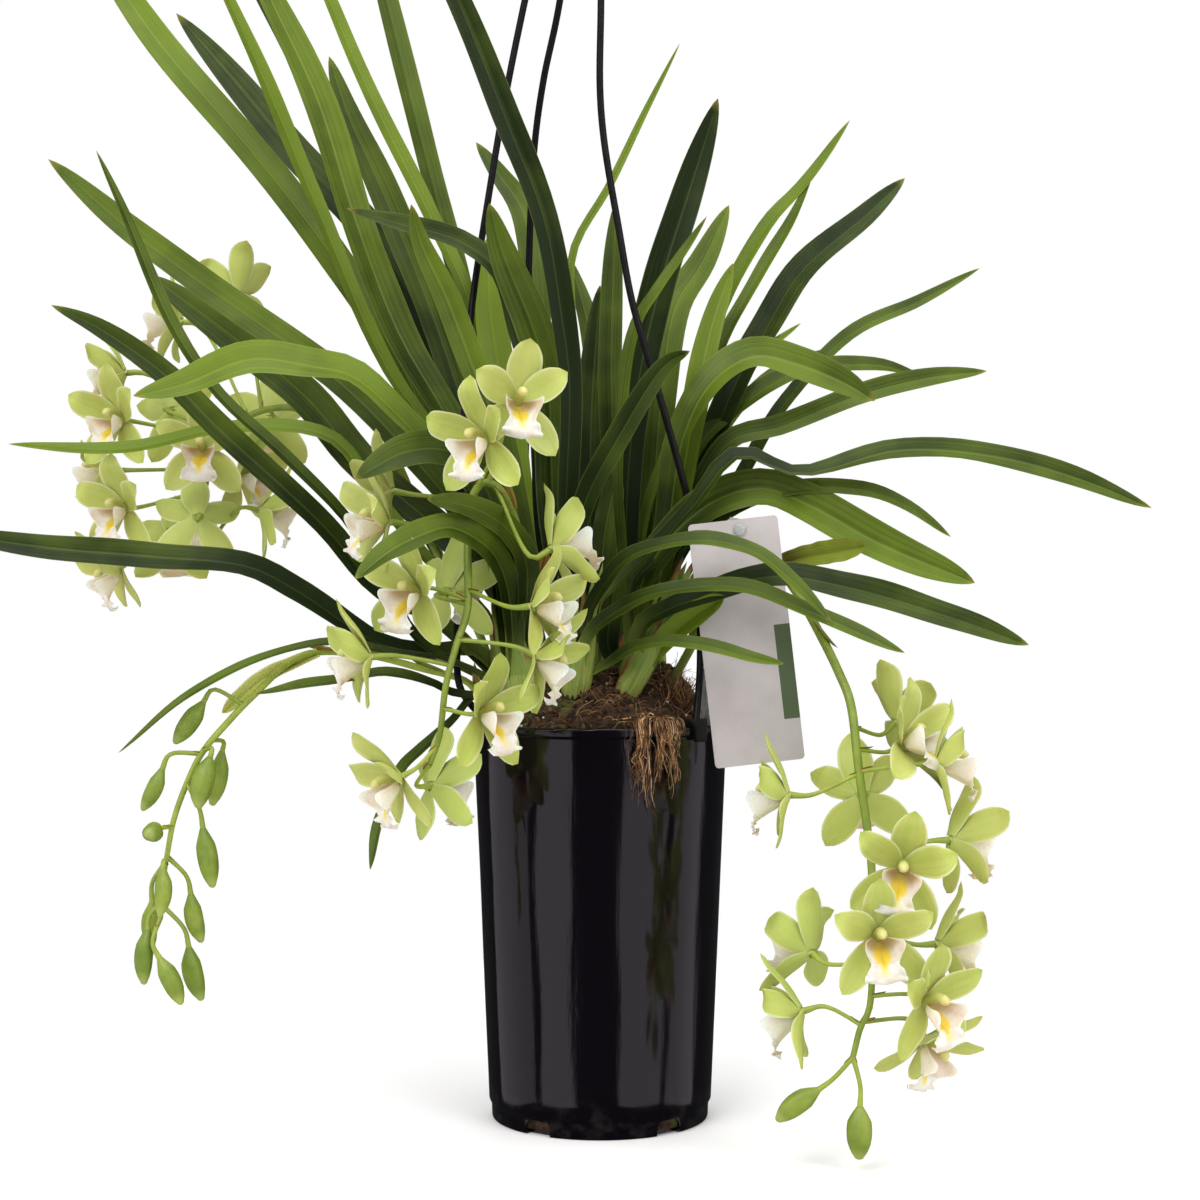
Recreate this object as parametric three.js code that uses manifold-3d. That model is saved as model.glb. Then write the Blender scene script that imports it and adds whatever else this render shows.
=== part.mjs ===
// A potted cymbidium orchid with hanging flower sprays, in a black plastic pot with a
// three-legged hanger and a plant label. Millimetres, +Z up, the plant seen from -Y.
// The origin is the middle of the pot's underside.

import * as THREE from "three";
import { mergeVertices } from "three/addons/utils/BufferGeometryUtils.js";
import Module from "manifold-3d";

const wasm = await Module();
wasm.setup();

// Driving dimensions.
const RIM_RADIUS = 70;
const POT_HEIGHT = 213;
const POT_FOOT_RADIUS = 58.4;
const POT_SHOULDER_RADIUS = 60;
const POT_FOOT_HEIGHT = 9;
const POT_WALL = 1.6;
const POT_FLOOR = 2.4;
const POT_LIP_HEIGHT = 5;
const POT_LIP_OUT = 1.5;
const POT_SIDES = 28;
const DRAIN_SLOT = { width: 15, height: 8.5, depth: 8 };
const CLEARANCE = 0.3;
const MIX_MOUND = 27;
const MIX_EDGE_DROP = 11;
const HANGER_WIRE = 3.8;
const TAG = { width: 47, height: 128, thick: 0.8, lean: 6.5 };
const STAKE = { width: 10, thick: 1.4 };
const PEG_RADIUS = 1.6;
const LEAF_THICK = 1.1;
const LEAF_KEEL = 0.17;
const PETAL_THICK = 1;
const BLOOM_SPAN = 62;

// The plant is placed by a level front view: an eye this far in front of the pot's axis, this
// high, with this focal length in the units of a 1200 x 1200 frame centred on the axis.
const EYE_DISTANCE = 1150;
const EYE_HEIGHT = 278.7;
const FOCAL = 2119;
const FRAME_CENTRE = 600;

// A point of the front view, standing `front` mm nearer to the eye than the pot's axis.
function spot(px, py, front) {
  const reach = (EYE_DISTANCE - front) / FOCAL;
  return new THREE.Vector3(
    (px - FRAME_CENTRE) * reach,
    -front,
    EYE_HEIGHT - (py - FRAME_CENTRE) * reach,
  );
}

// A course of the front view, [px, py, px, py, ...], whose front goes from one value to another.
function course(list, fromFront, toFront) {
  const count = list.length / 2;
  return Array.from({ length: count }, (_, i) => {
    const front = fromFront + ((toFront - fromFront) * (i + 1)) / count;
    return spot(list[2 * i], list[2 * i + 1], front);
  });
}

// A closed geometry as a solid that can be joined and cut.
function solid(geometry) {
  const bare = new THREE.BufferGeometry();
  bare.setAttribute("position", geometry.getAttribute("position"));
  if (geometry.index) bare.setIndex(geometry.index);
  const merged = mergeVertices(bare, 1e-4);
  return new wasm.Manifold(
    new wasm.Mesh({
      numProp: 3,
      vertProperties: merged.attributes.position.array,
      triVerts: new Uint32Array(merged.index.array),
    }),
  );
}

function joined(geometries) {
  return wasm.Manifold.union(geometries.map(solid));
}

// The solid's largest body, back as a geometry.
function shape(made) {
  const bodies = made.decompose().sort((a, b) => b.volume() - a.volume());
  const mesh = bodies[0].getMesh();
  const geometry = new THREE.BufferGeometry();
  geometry.setAttribute("position", new THREE.BufferAttribute(mesh.vertProperties, 3));
  geometry.setIndex(new THREE.BufferAttribute(mesh.triVerts, 1));
  geometry.computeVertexNormals();
  return geometry;
}

const orchid = new THREE.Group();

function add(name, made, color, roughness = 0.5) {
  const material = new THREE.MeshStandardMaterial({ color, roughness, metalness: 0 });
  const mesh = new THREE.Mesh(made.isBufferGeometry ? made : shape(made), material);
  mesh.name = name;
  orchid.add(mesh);
  return mesh;
}

// A thin blade along a line of points: two edges and a rib whose fold stands out on one side.
// Both faces are split along the same diagonals. The first and last points are sharp ends.
function blade(points, across, facing, widths, thick, keel) {
  const positions = [];
  const rows = [];
  const put = (v) => positions.push(v.x, v.y, v.z) / 3 - 1;
  points.forEach((p, i) => {
    const half = widths[i] / 2;
    if (half < 0.05) {
      const end = put(p);
      rows.push([end, end, end, end]);
      return;
    }
    const fold = facing[i].clone().multiplyScalar(-keel * widths[i]);
    const rib = p.clone().add(fold);
    const skin = facing[i].clone().multiplyScalar(thick / 2);
    rows.push([
      put(p.clone().addScaledVector(across[i], -half)),
      put(rib.clone().add(skin)),
      put(p.clone().addScaledVector(across[i], half)),
      put(rib.clone().sub(skin)),
    ]);
  });
  const index = [];
  const face = (a, b, c) => {
    if (a !== b && b !== c && a !== c) index.push(a, b, c);
  };
  for (let i = 0; i + 1 < rows.length; i++) {
    const [l0, t0, r0, b0] = rows[i];
    const [l1, t1, r1, b1] = rows[i + 1];
    face(l0, t0, t1), face(l0, t1, l1);
    face(t0, r0, t1), face(r0, r1, t1);
    face(r0, b0, b1), face(r0, b1, r1);
    face(b0, l0, b1), face(l0, l1, b1);
  }
  const geometry = new THREE.BufferGeometry();
  geometry.setAttribute("position", new THREE.Float32BufferAttribute(positions, 3));
  geometry.setIndex(index);
  return geometry;
}

// The directions across a leaf and out of its upper side at each point of its line, from how far
// the blade is turned away from the eye: 0 shows its full width, 90 only its edge. A leaf that
// grows to the left turns the other way, so that its upper side faces up.
const VIEW_AWAY = new THREE.Vector3(0, 1, 0);
function turned(tangents, turns, hand) {
  const across = [];
  const facing = [];
  tangents.forEach((t, i) => {
    const level = VIEW_AWAY.clone().cross(t).normalize();
    const toEye = t.clone().cross(level).normalize();
    if (toEye.y > 0) toEye.negate();
    const angle = hand * THREE.MathUtils.degToRad(turns[i]);
    const side = level.multiplyScalar(Math.cos(angle)).addScaledVector(toEye, Math.sin(angle));
    across.push(side);
    facing.push(side.clone().cross(t).normalize());
  });
  return { across, facing };
}

// Where along its length a leaf is measured, and its width there as a share of the widest.
const LEAF_STATIONS = [0, 0.16, 0.34, 0.52, 0.68, 0.82, 0.94, 1];
const LEAF_WIDTHS = [0.6, 0.76, 0.9, 0.98, 1, 0.88, 0.52, 0];

function leaf(root, width, turn, points) {
  const line = new THREE.CatmullRomCurve3([root, ...points], false, "centripetal");
  line.arcLengthDivisions = 60;
  const at = LEAF_STATIONS.map((s) => line.getPointAt(s));
  const tangents = LEAF_STATIONS.map((s) => line.getTangentAt(s));
  const turns = LEAF_STATIONS.map((s) => {
    const step = Math.min(Math.floor(s * (turn.length - 1)), turn.length - 2);
    return turn[step] + (turn[step + 1] - turn[step]) * (s * (turn.length - 1) - step);
  });
  const hand = points.at(-1).x < root.x ? -1 : 1;
  const { across, facing } = turned(tangents, turns, hand);
  const widths = LEAF_WIDTHS.map((w) => w * width);
  const made = blade(at, across, facing, widths, LEAF_THICK, LEAF_KEEL);
  return closeEnd(made);
}

// Closes the open square at a blade's first row.
function closeEnd(geometry) {
  const index = Array.from(geometry.index.array);
  index.push(0, 2, 1, 0, 3, 2);
  geometry.setIndex(index);
  return geometry;
}

// A swelling round body through points, with a radius at each. It ends flat, or in a point where
// the radius is 0. The rings keep their turn along the line, so that the sides don't twist.
function tapered(points, radii, sides) {
  const positions = [];
  const index = [];
  const put = (v) => positions.push(v.x, v.y, v.z) / 3 - 1;
  const last = points.length - 1;
  const tangents = points.map((_, i) =>
    points[Math.min(i + 1, last)].clone().sub(points[Math.max(i - 1, 0)]).normalize(),
  );
  const normal = new THREE.Vector3(0.31, 0.9, 0.3);
  const rows = points.map((centre, i) => {
    normal.addScaledVector(tangents[i], -normal.dot(tangents[i])).normalize();
    const binormal = tangents[i].clone().cross(normal);
    if (!radii[i]) return new Array(sides).fill(put(centre));
    return Array.from({ length: sides }, (_, k) => {
      const a = (2 * Math.PI * k) / sides;
      const out = normal.clone().multiplyScalar(Math.cos(a)).addScaledVector(binormal, Math.sin(a));
      return put(centre.clone().addScaledVector(out, radii[i]));
    });
  });
  const face = (a, b, c) => {
    if (a !== b && b !== c && a !== c) index.push(a, b, c);
  };
  for (let k = 0; k < sides; k++) {
    const next = (k + 1) % sides;
    for (let i = 0; i < last; i++) {
      face(rows[i][k], rows[i][next], rows[i + 1][next]);
      face(rows[i][k], rows[i + 1][next], rows[i + 1][k]);
    }
    if (k > 0 && k < sides - 1) {
      face(rows[0][0], rows[0][k + 1], rows[0][k]);
      face(rows[last][0], rows[last][k], rows[last][k + 1]);
    }
  }
  const geometry = new THREE.BufferGeometry();
  geometry.setAttribute("position", new THREE.Float32BufferAttribute(positions, 3));
  geometry.setIndex(index);
  return geometry;
}

// A tube of one radius along a smooth curve through points.
function tube(points, radius, sides, steps) {
  const ring = Array.from({ length: sides }, (_, k) => {
    const a = (2 * Math.PI * k) / sides;
    return new THREE.Vector2(radius * Math.cos(a), radius * Math.sin(a));
  });
  const extrudePath = new THREE.CatmullRomCurve3(points, false, "centripetal");
  const bevelEnabled = false;
  return new THREE.ExtrudeGeometry(new THREE.Shape(ring), { steps, extrudePath, bevelEnabled });
}

// An egg-shaped body of revolution from one point to another.
function egg(from, to, radius, sides = 6) {
  const length = from.distanceTo(to);
  const profile = [
    [0, 0],
    [0.92, 0.27],
    [0.86, 0.68],
    [0, 1],
  ];
  const points = profile.map(([r, h]) => new THREE.Vector2(r * radius, h * length));
  const geometry = new THREE.LatheGeometry(points, sides);
  const along = to.clone().sub(from).normalize();
  const turn = new THREE.Quaternion().setFromUnitVectors(new THREE.Vector3(0, 1, 0), along);
  return geometry.applyQuaternion(turn).translate(from.x, from.y, from.z);
}

// The pot: a thin tapered wall, a lip at the rim, a foot band set in, and drain slots in the foot.
const potOutside = [
  [0, 0],
  [POT_FOOT_RADIUS, 0],
  [POT_FOOT_RADIUS + 0.3, POT_FOOT_HEIGHT],
  [POT_SHOULDER_RADIUS, POT_FOOT_HEIGHT + 1],
  [RIM_RADIUS - POT_LIP_OUT, POT_HEIGHT - POT_LIP_HEIGHT],
  [RIM_RADIUS, POT_HEIGHT - POT_LIP_HEIGHT],
  [RIM_RADIUS, POT_HEIGHT],
  [RIM_RADIUS - POT_LIP_OUT - POT_WALL, POT_HEIGHT],
  [POT_SHOULDER_RADIUS - POT_WALL - 0.6, POT_FLOOR + 8],
  [POT_FOOT_RADIUS - POT_WALL, POT_FLOOR],
  [0, POT_FLOOR],
];
function latheZ(profile, sides) {
  const points = profile.map(([r, z]) => new THREE.Vector2(r, z));
  return new THREE.LatheGeometry(points, sides).rotateX(Math.PI / 2);
}
function drainSlot(angle) {
  const { width, height, depth } = DRAIN_SLOT;
  const box = new THREE.BoxGeometry(depth, width, 2 * height);
  return box.translate(POT_FOOT_RADIUS - 1, 0, 0).rotateZ(THREE.MathUtils.degToRad(angle));
}
const DRAIN_ANGLES = [-124, -52, 16, 92, 164];
let pot = solid(latheZ(potOutside, POT_SIDES));
for (const angle of DRAIN_ANGLES) pot = pot.subtract(solid(drainSlot(angle)));

// The growths: each stands on a swollen bulb set in the mix, with leaves fanned from it. A leaf
// has its widest width, its turns from the eye evenly along it, its tip's front and its course.
const GROWTHS = {
  growth_left_front: {
    at: [-42, 23],
    lean: [-5, 2],
    leaves: {
      arch: [
        21, [50, 62, 5], 123,
        [478, 494, 445, 460, 410, 420, 355, 372, 311, 362, 250, 356, 180, 384, 133, 396],
      ],
      shade: [20, [40, 10], 92, [500, 520, 470, 460, 440, 447, 400, 452, 355, 479]],
      drop: [16, [45, 25], 128, [512, 600, 500, 560, 482, 540, 450, 525, 415, 535, 385, 552, 355, 579]],
      hook: [14, [35, 15], 92, [527, 620, 527, 560, 512, 532, 489, 514, 463, 504, 427, 499]],
      low: [7.5, [60, 55], 77, [460, 664, 388, 650, 330, 641, 266, 655, 189, 693, 118, 753]],
      ground: [8, [60, 50], 91, [457, 693, 432, 682, 388, 671, 355, 676, 300, 684, 255, 694]],
      dip: [8.5, [60, 40], 80, [478, 692, 450, 722, 418, 750, 400, 770, 378, 822, 370, 870]],
    },
  },
  growth_left_back: {
    at: [-46, -8],
    lean: [-6, -2],
    leaves: {
      sweep: [
        16, [55, 15], 18,
        [478, 650, 430, 650, 378, 640, 300, 590, 250, 565, 153, 555, 51, 547, -60, 532],
      ],
      blade_a: [
        9, [50, 45], 54,
        [420, 640, 388, 588, 347, 519, 286, 455, 222, 396, 173, 324, 128, 219, 96, 150],
      ],
      blade_b: [
        15, [40, 20], 30,
        [440, 620, 383, 590, 329, 529, 281, 483, 219, 427, 165, 373, 95, 325, 51, 305],
      ],
      blade_c: [
        18, [40, 15], -8,
        [490, 560, 400, 440, 340, 380, 293, 345, 204, 283, 128, 227, 66, 174, 48, 159],
      ],
      blade_d: [21, [30, 5], -52, [500, 590, 430, 520, 362, 463, 310, 400, 235, 338, 176, 294, 150, 275]],
      pale: [10, [50, 35], -25, [490, 620, 430, 560, 380, 500, 332, 436, 224, 427, 128, 447, 8, 444]],
    },
  },
  growth_back_left: {
    at: [-30, -38],
    lean: [-8, -4],
    leaves: {
      tall_a: [20, [30, 10], -180, [490, 560, 400, 360, 330, 250, 255, 153, 158, 40, 110, -30, 75, -90]],
      tall_b: [21, [30, 10], -122, [500, 550, 440, 350, 370, 230, 296, 153, 235, 80, 176, 13]],
      tall_c: [12, [50, 40], -44, [505, 550, 440, 440, 390, 370, 321, 212, 270, 89, 230, 0, 195, -70]],
      tall_d: [9, [50, 45], -154, [510, 550, 430, 370, 347, 187, 309, 97, 261, 0, 225, -60]],
      short: [19, [30, 10], -67, [505, 540, 440, 330, 386, 195, 347, 110, 329, 56]],
    },
  },
  growth_back_mid: {
    at: [-6, -44],
    lean: [-4, -5],
    leaves: {
      tall_f: [11, [40, 30], -76, [525, 540, 470, 300, 430, 212, 388, 128, 352, 51, 318, -30, 290, -90]],
      tall_g: [14, [30, 20], -104, [530, 540, 480, 360, 452, 250, 418, 120, 388, 0, 362, -90, 335, -160]],
      backlit: [19, [25, 0], -47, [530, 560, 508, 420, 490, 310, 488, 236]],
      tuft: [17, [30, 10], -131, [552, 560, 540, 360, 525, 215, 500, 175, 476, 142]],
      fill: [16, [25, 15], -62, [589, 540, 590, 410, 600, 285]],
      slim: [14, [20, 10], -55, [612, 560, 610, 360, 615, 203]],
      nook: [14, [30, 20], -105, [604, 560, 600, 420, 590, 330, 570, 258]],
      thread: [5, [30, 10], -90, [568, 500, 572, 330, 573, 252, 609, 186, 645, 112, 680, 43]],
    },
  },
  growth_front_mid: {
    at: [-14, 8],
    lean: [-2, 2],
    leaves: {
      tall_e: [20, [35, 25], -21, [520, 540, 440, 400, 400, 330, 357, 217, 319, 97, 273, 0, 235, -80]],
      sword: [
        15, [35, 10], 92,
        [568, 520, 571, 378, 563, 314, 547, 223, 507, 117, 459, 0, 430, -60, 395, -120],
      ],
      point: [20, [20, 0], 46, [555, 520, 548, 380, 533, 326, 502, 250, 489, 203]],
      spear: [13, [25, 5], 66, [570, 560, 585, 500, 622, 430, 665, 365, 690, 351]],
      spotted: [15, [30, 10], 63, [530, 560, 500, 430, 478, 378, 448, 300, 420, 240, 411, 204]],
      bow: [15, [40, 30], 5, [545, 540, 540, 400, 520, 330, 500, 270, 461, 239, 400, 222, 346, 208]],
    },
  },
  growth_back_right: {
    at: [22, -38],
    lean: [6, -6],
    leaves: {
      dark: [20, [25, 10], -26, [625, 560, 634, 400, 659, 283, 684, 203, 709, 127, 718, 98]],
      fold_low: [8, [45, 30], -62, [640, 540, 672, 440, 712, 386, 760, 352, 801, 323]],
      broad: [19, [20, 5], -102, [650, 540, 660, 400, 675, 306, 702, 262, 729, 205]],
      folded: [11, [45, 40], -73, [665, 540, 690, 420, 712, 330, 765, 225, 800, 187, 850, 120]],
    },
  },
  growth_right_mid: {
    at: [12, -9],
    lean: [20, -1],
    leaves: {
      lap: [15, [20, 10], -20, [609, 625, 604, 550, 618, 470]],
      over: [9, [50, 40], -7, [618, 470, 635, 325, 657, 288, 680, 256, 707, 216]],
      pale: [15, [20, 10], -27, [668, 540, 690, 430, 710, 330, 733, 263]],
      rise: [10, [50, 40], -68, [660, 520, 714, 357, 743, 300, 790, 220, 812, 176]],
      dark_rise: [18, [40, 15], -108, [676, 530, 735, 380, 763, 330, 800, 270, 868, 212, 905, 178]],
      far_rise: [10, [40, 30], -140, [690, 540, 735, 484, 784, 402, 850, 333, 919, 300, 980, 268]],
      arch: [23, [30, 58, 5], -6, [660, 560, 680, 430, 712, 375, 755, 352, 800, 362, 845, 382, 875, 401]],
      wave: [14, [55, 15], -39, [680, 530, 728, 440, 780, 425, 855, 395, 932, 376, 987, 371]],
      tip_up: [9, [40, 30], -118, [682, 540, 722, 430, 775, 372, 838, 347]],
      hang: [12, [40, 30], -88, [670, 520, 700, 440, 790, 372, 830, 364, 880, 364, 925, 377]],
    },
  },
  growth_right_front: {
    at: [15, 14],
    lean: [15, 2],
    girth: 8,
    leaves: {
      bright: [22, [30, 10], 45, [640, 580, 702, 506, 760, 486, 810, 503, 880, 542, 975, 583]],
      under: [10, [40, 30], 42, [632, 585, 700, 530, 770, 492, 855, 487, 906, 504, 951, 537]],
      stub: [13, [20, 10], 22, [611, 652, 612, 610, 620, 570]],
    },
  },
  growth_front_low: {
    at: [-14, 31],
    lean: [6, 2],
    girth: 7,
    leaves: {
      long: [
        15, [55, 60, 10], 46,
        [
          592, 606, 622, 574, 655, 544, 690, 505, 738, 452, 800, 470,
          900, 447, 1000, 455, 1080, 478, 1152, 508,
        ],
      ],
      strap: [11, [30, 50, 35], 112, [590, 632, 624, 605, 658, 591, 735, 584, 794, 603, 860, 632, 905, 653]],
      curve: [
        11, [30, 50, 40], 101,
        [588, 612, 600, 588, 624, 558, 660, 543, 710, 538, 755, 550, 794, 580, 832, 622],
      ],
      short: [8, [40, 30], 88, [612, 660, 630, 648, 658, 641, 700, 643, 750, 656, 784, 664]],
    },
  },
  growth_right_low: {
    at: [12, 31],
    lean: [20, 0],
    girth: 7,
    leaves: {
      low: [
        16, [45, 20], 92,
        [641, 624, 667, 607, 709, 592, 745, 579, 783, 574, 855, 587, 957, 618, 1029, 645],
      ],
      shoot: [13, [20, 10], 60, [664, 640, 692, 616, 724, 596]],
    },
  },
};

const BULB = { girth: 10, height: 38, sunk: 17 };

// The leaves of a growth are seated one behind another in their bulb, this far apart, the one
// that reaches furthest forward in front.
const LEAF_SEAT = 2;

// The mix's top surface: a mound, higher on the right, falling to the rim, with a crumbly skin.
function mixTop(x, y) {
  const r = Math.hypot(x, y) / RIM_RADIUS;
  const mound = MIX_MOUND * (1 - r * r) - MIX_EDGE_DROP * r * r;
  const hump = 15 * Math.exp(-((x - 42) ** 2 + (y - 4) ** 2) / 420);
  const crumb = 0.9 * Math.sin(x * 0.31 + 1.7 * Math.sin(y * 0.17)) * Math.cos(y * 0.27);
  return POT_HEIGHT + mound + hump * (1 - r ** 4) + crumb * (1 - r * r);
}

const MIX_RINGS = [0.36, 0.7, 1];
const MIX_SIDES = 18;
function growingMix() {
  const topRadius = RIM_RADIUS - POT_LIP_OUT - POT_WALL - 1.4;
  const floorRadius = POT_FOOT_RADIUS - POT_WALL - CLEARANCE;
  const floor = POT_FLOOR + CLEARANCE;
  const waist = POT_SHOULDER_RADIUS - POT_WALL - 1;
  const positions = [0, 0, floor];
  const index = [];
  const ring = (radius, height) => {
    const first = positions.length / 3;
    for (let k = 0; k < MIX_SIDES; k++) {
      const a = (2 * Math.PI * (k + 0.5)) / MIX_SIDES;
      const x = radius * Math.cos(a);
      const y = radius * Math.sin(a);
      positions.push(x, y, height ?? mixTop(x, y));
    }
    return first;
  };
  const rows = [ring(floorRadius, floor), ring(waist, floor + 8)];
  for (const share of [...MIX_RINGS].reverse()) rows.push(ring(topRadius * share));
  const peak = positions.length / 3;
  positions.push(0, 0, mixTop(0, 0));
  for (let k = 0; k < MIX_SIDES; k++) {
    const next = (k + 1) % MIX_SIDES;
    index.push(0, rows[0] + next, rows[0] + k);
    for (let i = 0; i + 1 < rows.length; i++) {
      const [a, b] = [rows[i], rows[i + 1]];
      index.push(a + k, a + next, b + next, a + k, b + next, b + k);
    }
    index.push(rows.at(-1) + k, rows.at(-1) + next, peak);
  }
  const geometry = new THREE.BufferGeometry();
  geometry.setAttribute("position", new THREE.Float32BufferAttribute(positions, 3));
  geometry.setIndex(index);
  return solid(geometry);
}
let mix = growingMix();

// The bulb stands part sunk in the mix and leans with its growth. `grow` widens it all round.
function bulb({ at, lean, girth = BULB.girth }, grow = 0) {
  const [x, front] = at;
  const foot = new THREE.Vector3(x, -front, mixTop(x, -front) - BULB.sunk - grow);
  const top = foot.clone().add(new THREE.Vector3(lean[0], -lean[1], BULB.height + 2 * grow));
  return egg(foot, top, girth + grow, 6);
}

for (const [name, growth] of Object.entries(GROWTHS)) {
  const [x, front] = growth.at;
  const [leanX, leanFront] = growth.lean;
  const heart = new THREE.Vector3(x, -front, mixTop(x, -front) + 6);
  const pieces = [bulb(growth)];
  const fan = Object.values(growth.leaves).sort((a, b) => b[2] - a[2]);
  fan.forEach(([width, turn, tipFront, list], i) => {
    const seat = (i - (fan.length - 1) / 2) * LEAF_SEAT;
    const root = heart.clone().add(new THREE.Vector3(leanX * 0.3, -leanFront * 0.3 + seat, 0));
    pieces.push(leaf(root, width, turn, course(list, front - seat, tipFront)));
  });
  add(name, joined(pieces), "#3f6a22", 0.45);
  mix = mix.subtract(solid(bulb(growth, 0.4)));
}

// A closed thin star of arms round a hub, in clockwise order as its face shows them. An arm has
// its angle at the hub, its rib points, the last one its tip, its direction across, its facing,
// its widths and the depths of its cup. Both faces are split alike and meet along the outline,
// which dips to a notch between two arms. The face runs up to the point of the column.
function star(hub, { forward, right, up }, arms, { ring, notch, thick, column, back }) {
  const positions = [];
  const index = [];
  const put = (v) => positions.push(v.x, v.y, v.z) / 3 - 1;
  const round = (degrees, radius, lift) => {
    const a = THREE.MathUtils.degToRad(degrees);
    const out = right.clone().multiplyScalar(Math.sin(a)).addScaledVector(up, Math.cos(a));
    return put(hub.clone().addScaledVector(out, radius).addScaledVector(forward, lift));
  };
  const apex = put(column);
  const behind = put(back);
  const rings = arms.map(({ angle }) => round(angle, ring, thick / 2));
  const notches = arms.map(({ angle }, i) => {
    const next = arms[(i + 1) % arms.length].angle;
    return round((angle + (next > angle ? next : next + 360)) / 2, notch, 0);
  });
  arms.forEach(({ points, across, facing, widths, cup }, i) => {
    const before = notches[(i + arms.length - 1) % arms.length];
    const after = notches[i];
    const beyond = rings[(i + 1) % arms.length];
    index.push(rings[i], beyond, after, rings[i], apex, beyond);
    const tip = put(points.at(-1));
    const rows = points.slice(0, -1).map((p, k) => {
      const rib = p.clone().addScaledVector(facing, -cup[k] * widths[k]);
      return {
        left: put(p.clone().addScaledVector(across, -widths[k] / 2)),
        right: put(p.clone().addScaledVector(across, widths[k] / 2)),
        faces: [1, -1].map((sign) => put(rib.clone().addScaledVector(facing, (sign * thick) / 2))),
      };
    });
    [rings[i], behind].forEach((middle, side) => {
      const face = (a, b, c) => (side ? index.push(a, c, b) : index.push(a, b, c));
      const ribs = [middle, ...rows.map((row) => row.faces[side]), tip];
      const lefts = [before, ...rows.map((row) => row.left)];
      const rights = [after, ...rows.map((row) => row.right)];
      face(ribs[0], ribs[1], lefts[0]);
      face(ribs[0], rights[0], ribs[1]);
      for (let k = 1; k < ribs.length - 1; k++) {
        face(ribs[k], lefts[k], lefts[k - 1]);
        face(ribs[k], rights[k - 1], rights[k]);
        face(ribs[k], ribs[k + 1], lefts[k]);
        face(ribs[k], rights[k], ribs[k + 1]);
      }
    });
  });
  const geometry = new THREE.BufferGeometry();
  geometry.setAttribute("position", new THREE.Float32BufferAttribute(positions, 3));
  geometry.setIndex(index);
  return geometry;
}

// A bloom's five tepals, in shares of its span: the angle round the face from the dorsal sepal,
// length, width, how far the middle and the tip stand forward, and the depth of its cup.
const TEPALS = {
  dorsal_sepal: { angle: 0, length: 0.52, width: 0.28, rise: [0.1, 0.2], cup: 0.16 },
  right_petal: { angle: 60, length: 0.45, width: 0.25, rise: [0.13, 0.26], cup: 0.12 },
  right_sepal: { angle: 138, length: 0.54, width: 0.27, rise: [0.08, 0.1], cup: 0.14 },
  left_sepal: { angle: -138, length: 0.54, width: 0.27, rise: [0.08, 0.1], cup: 0.14 },
  left_petal: { angle: -60, length: 0.45, width: 0.25, rise: [0.13, 0.26], cup: 0.12 },
};

// The directions of a bloom: yaw 0 faces the eye, 90 faces +X, pitch tips it up, and roll turns
// it clockwise on its face.
function faceOf(yaw, pitch, roll) {
  const rad = THREE.MathUtils.degToRad;
  const forward = new THREE.Vector3(
    Math.sin(rad(yaw)) * Math.cos(rad(pitch)),
    -Math.cos(rad(yaw)) * Math.cos(rad(pitch)),
    Math.sin(rad(pitch)),
  );
  const right = new THREE.Vector3(0, 0, 1).cross(forward).normalize();
  const up = forward.clone().cross(right).normalize();
  right.applyAxisAngle(forward, -rad(roll));
  up.applyAxisAngle(forward, -rad(roll));
  return { forward, right, up };
}

// A bloom, one thin body round the column: five tepals, and a lip like a trough whose raised
// sides stand beside the column, and whose tongue turns down. A bloom that looks away from
// the eye has one rib point to a tepal before its tip, another has two.
const BACK_TURNED = 66;
function bloom(hub, turn) {
  const frame = faceOf(...turn);
  const { forward, right, up } = frame;
  const plain = Math.abs(turn[0]) > BACK_TURNED;
  const point = (x, y, z) =>
    hub
      .clone()
      .addScaledVector(right, x * BLOOM_SPAN)
      .addScaledVector(up, y * BLOOM_SPAN)
      .addScaledVector(forward, z * BLOOM_SPAN);
  const tepal = ({ angle, length, width, rise, cup }) => {
    const a = THREE.MathUtils.degToRad(angle);
    const along = (share, lift) =>
      point(Math.sin(a) * length * share, Math.cos(a) * length * share, lift);
    const tip = along(1, rise[1]);
    const outward = tip.clone().sub(hub).normalize();
    const across = outward.clone().cross(forward).normalize();
    const facing = across.clone().cross(outward).normalize();
    const ribs = plain ? [along(0.58, rise[0] * 1.4)] : [along(0.38, rise[0]), along(0.76, rise[1])];
    const widths = (plain ? [1.05] : [0.9, 0.96]).map((w) => w * width * BLOOM_SPAN);
    return { angle, points: [...ribs, tip], across, facing, widths, cup: [cup, cup] };
  };
  const lip = {
    angle: 180,
    points: [point(0, 0, 0.3), point(0, -0.2, 0.33), point(0, -0.36, 0.26)],
    across: right.clone().negate(),
    facing: up.clone().multiplyScalar(0.6).addScaledVector(forward, 0.8),
    widths: [0.3 * BLOOM_SPAN, 0.4 * BLOOM_SPAN],
    cup: [0.82, 0.16],
  };
  const { dorsal_sepal, right_petal, right_sepal, left_sepal, left_petal } = TEPALS;
  const arms = [
    ...[dorsal_sepal, right_petal, right_sepal].map(tepal),
    lip,
    ...[left_sepal, left_petal].map(tepal),
  ];
  return star(hub, frame, arms, {
    ring: 0.05 * BLOOM_SPAN,
    notch: 0.1 * BLOOM_SPAN,
    thick: PETAL_THICK,
    column: point(0, 0.05, 0.24),
    back: point(0, 0, -0.05),
  });
}

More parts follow.
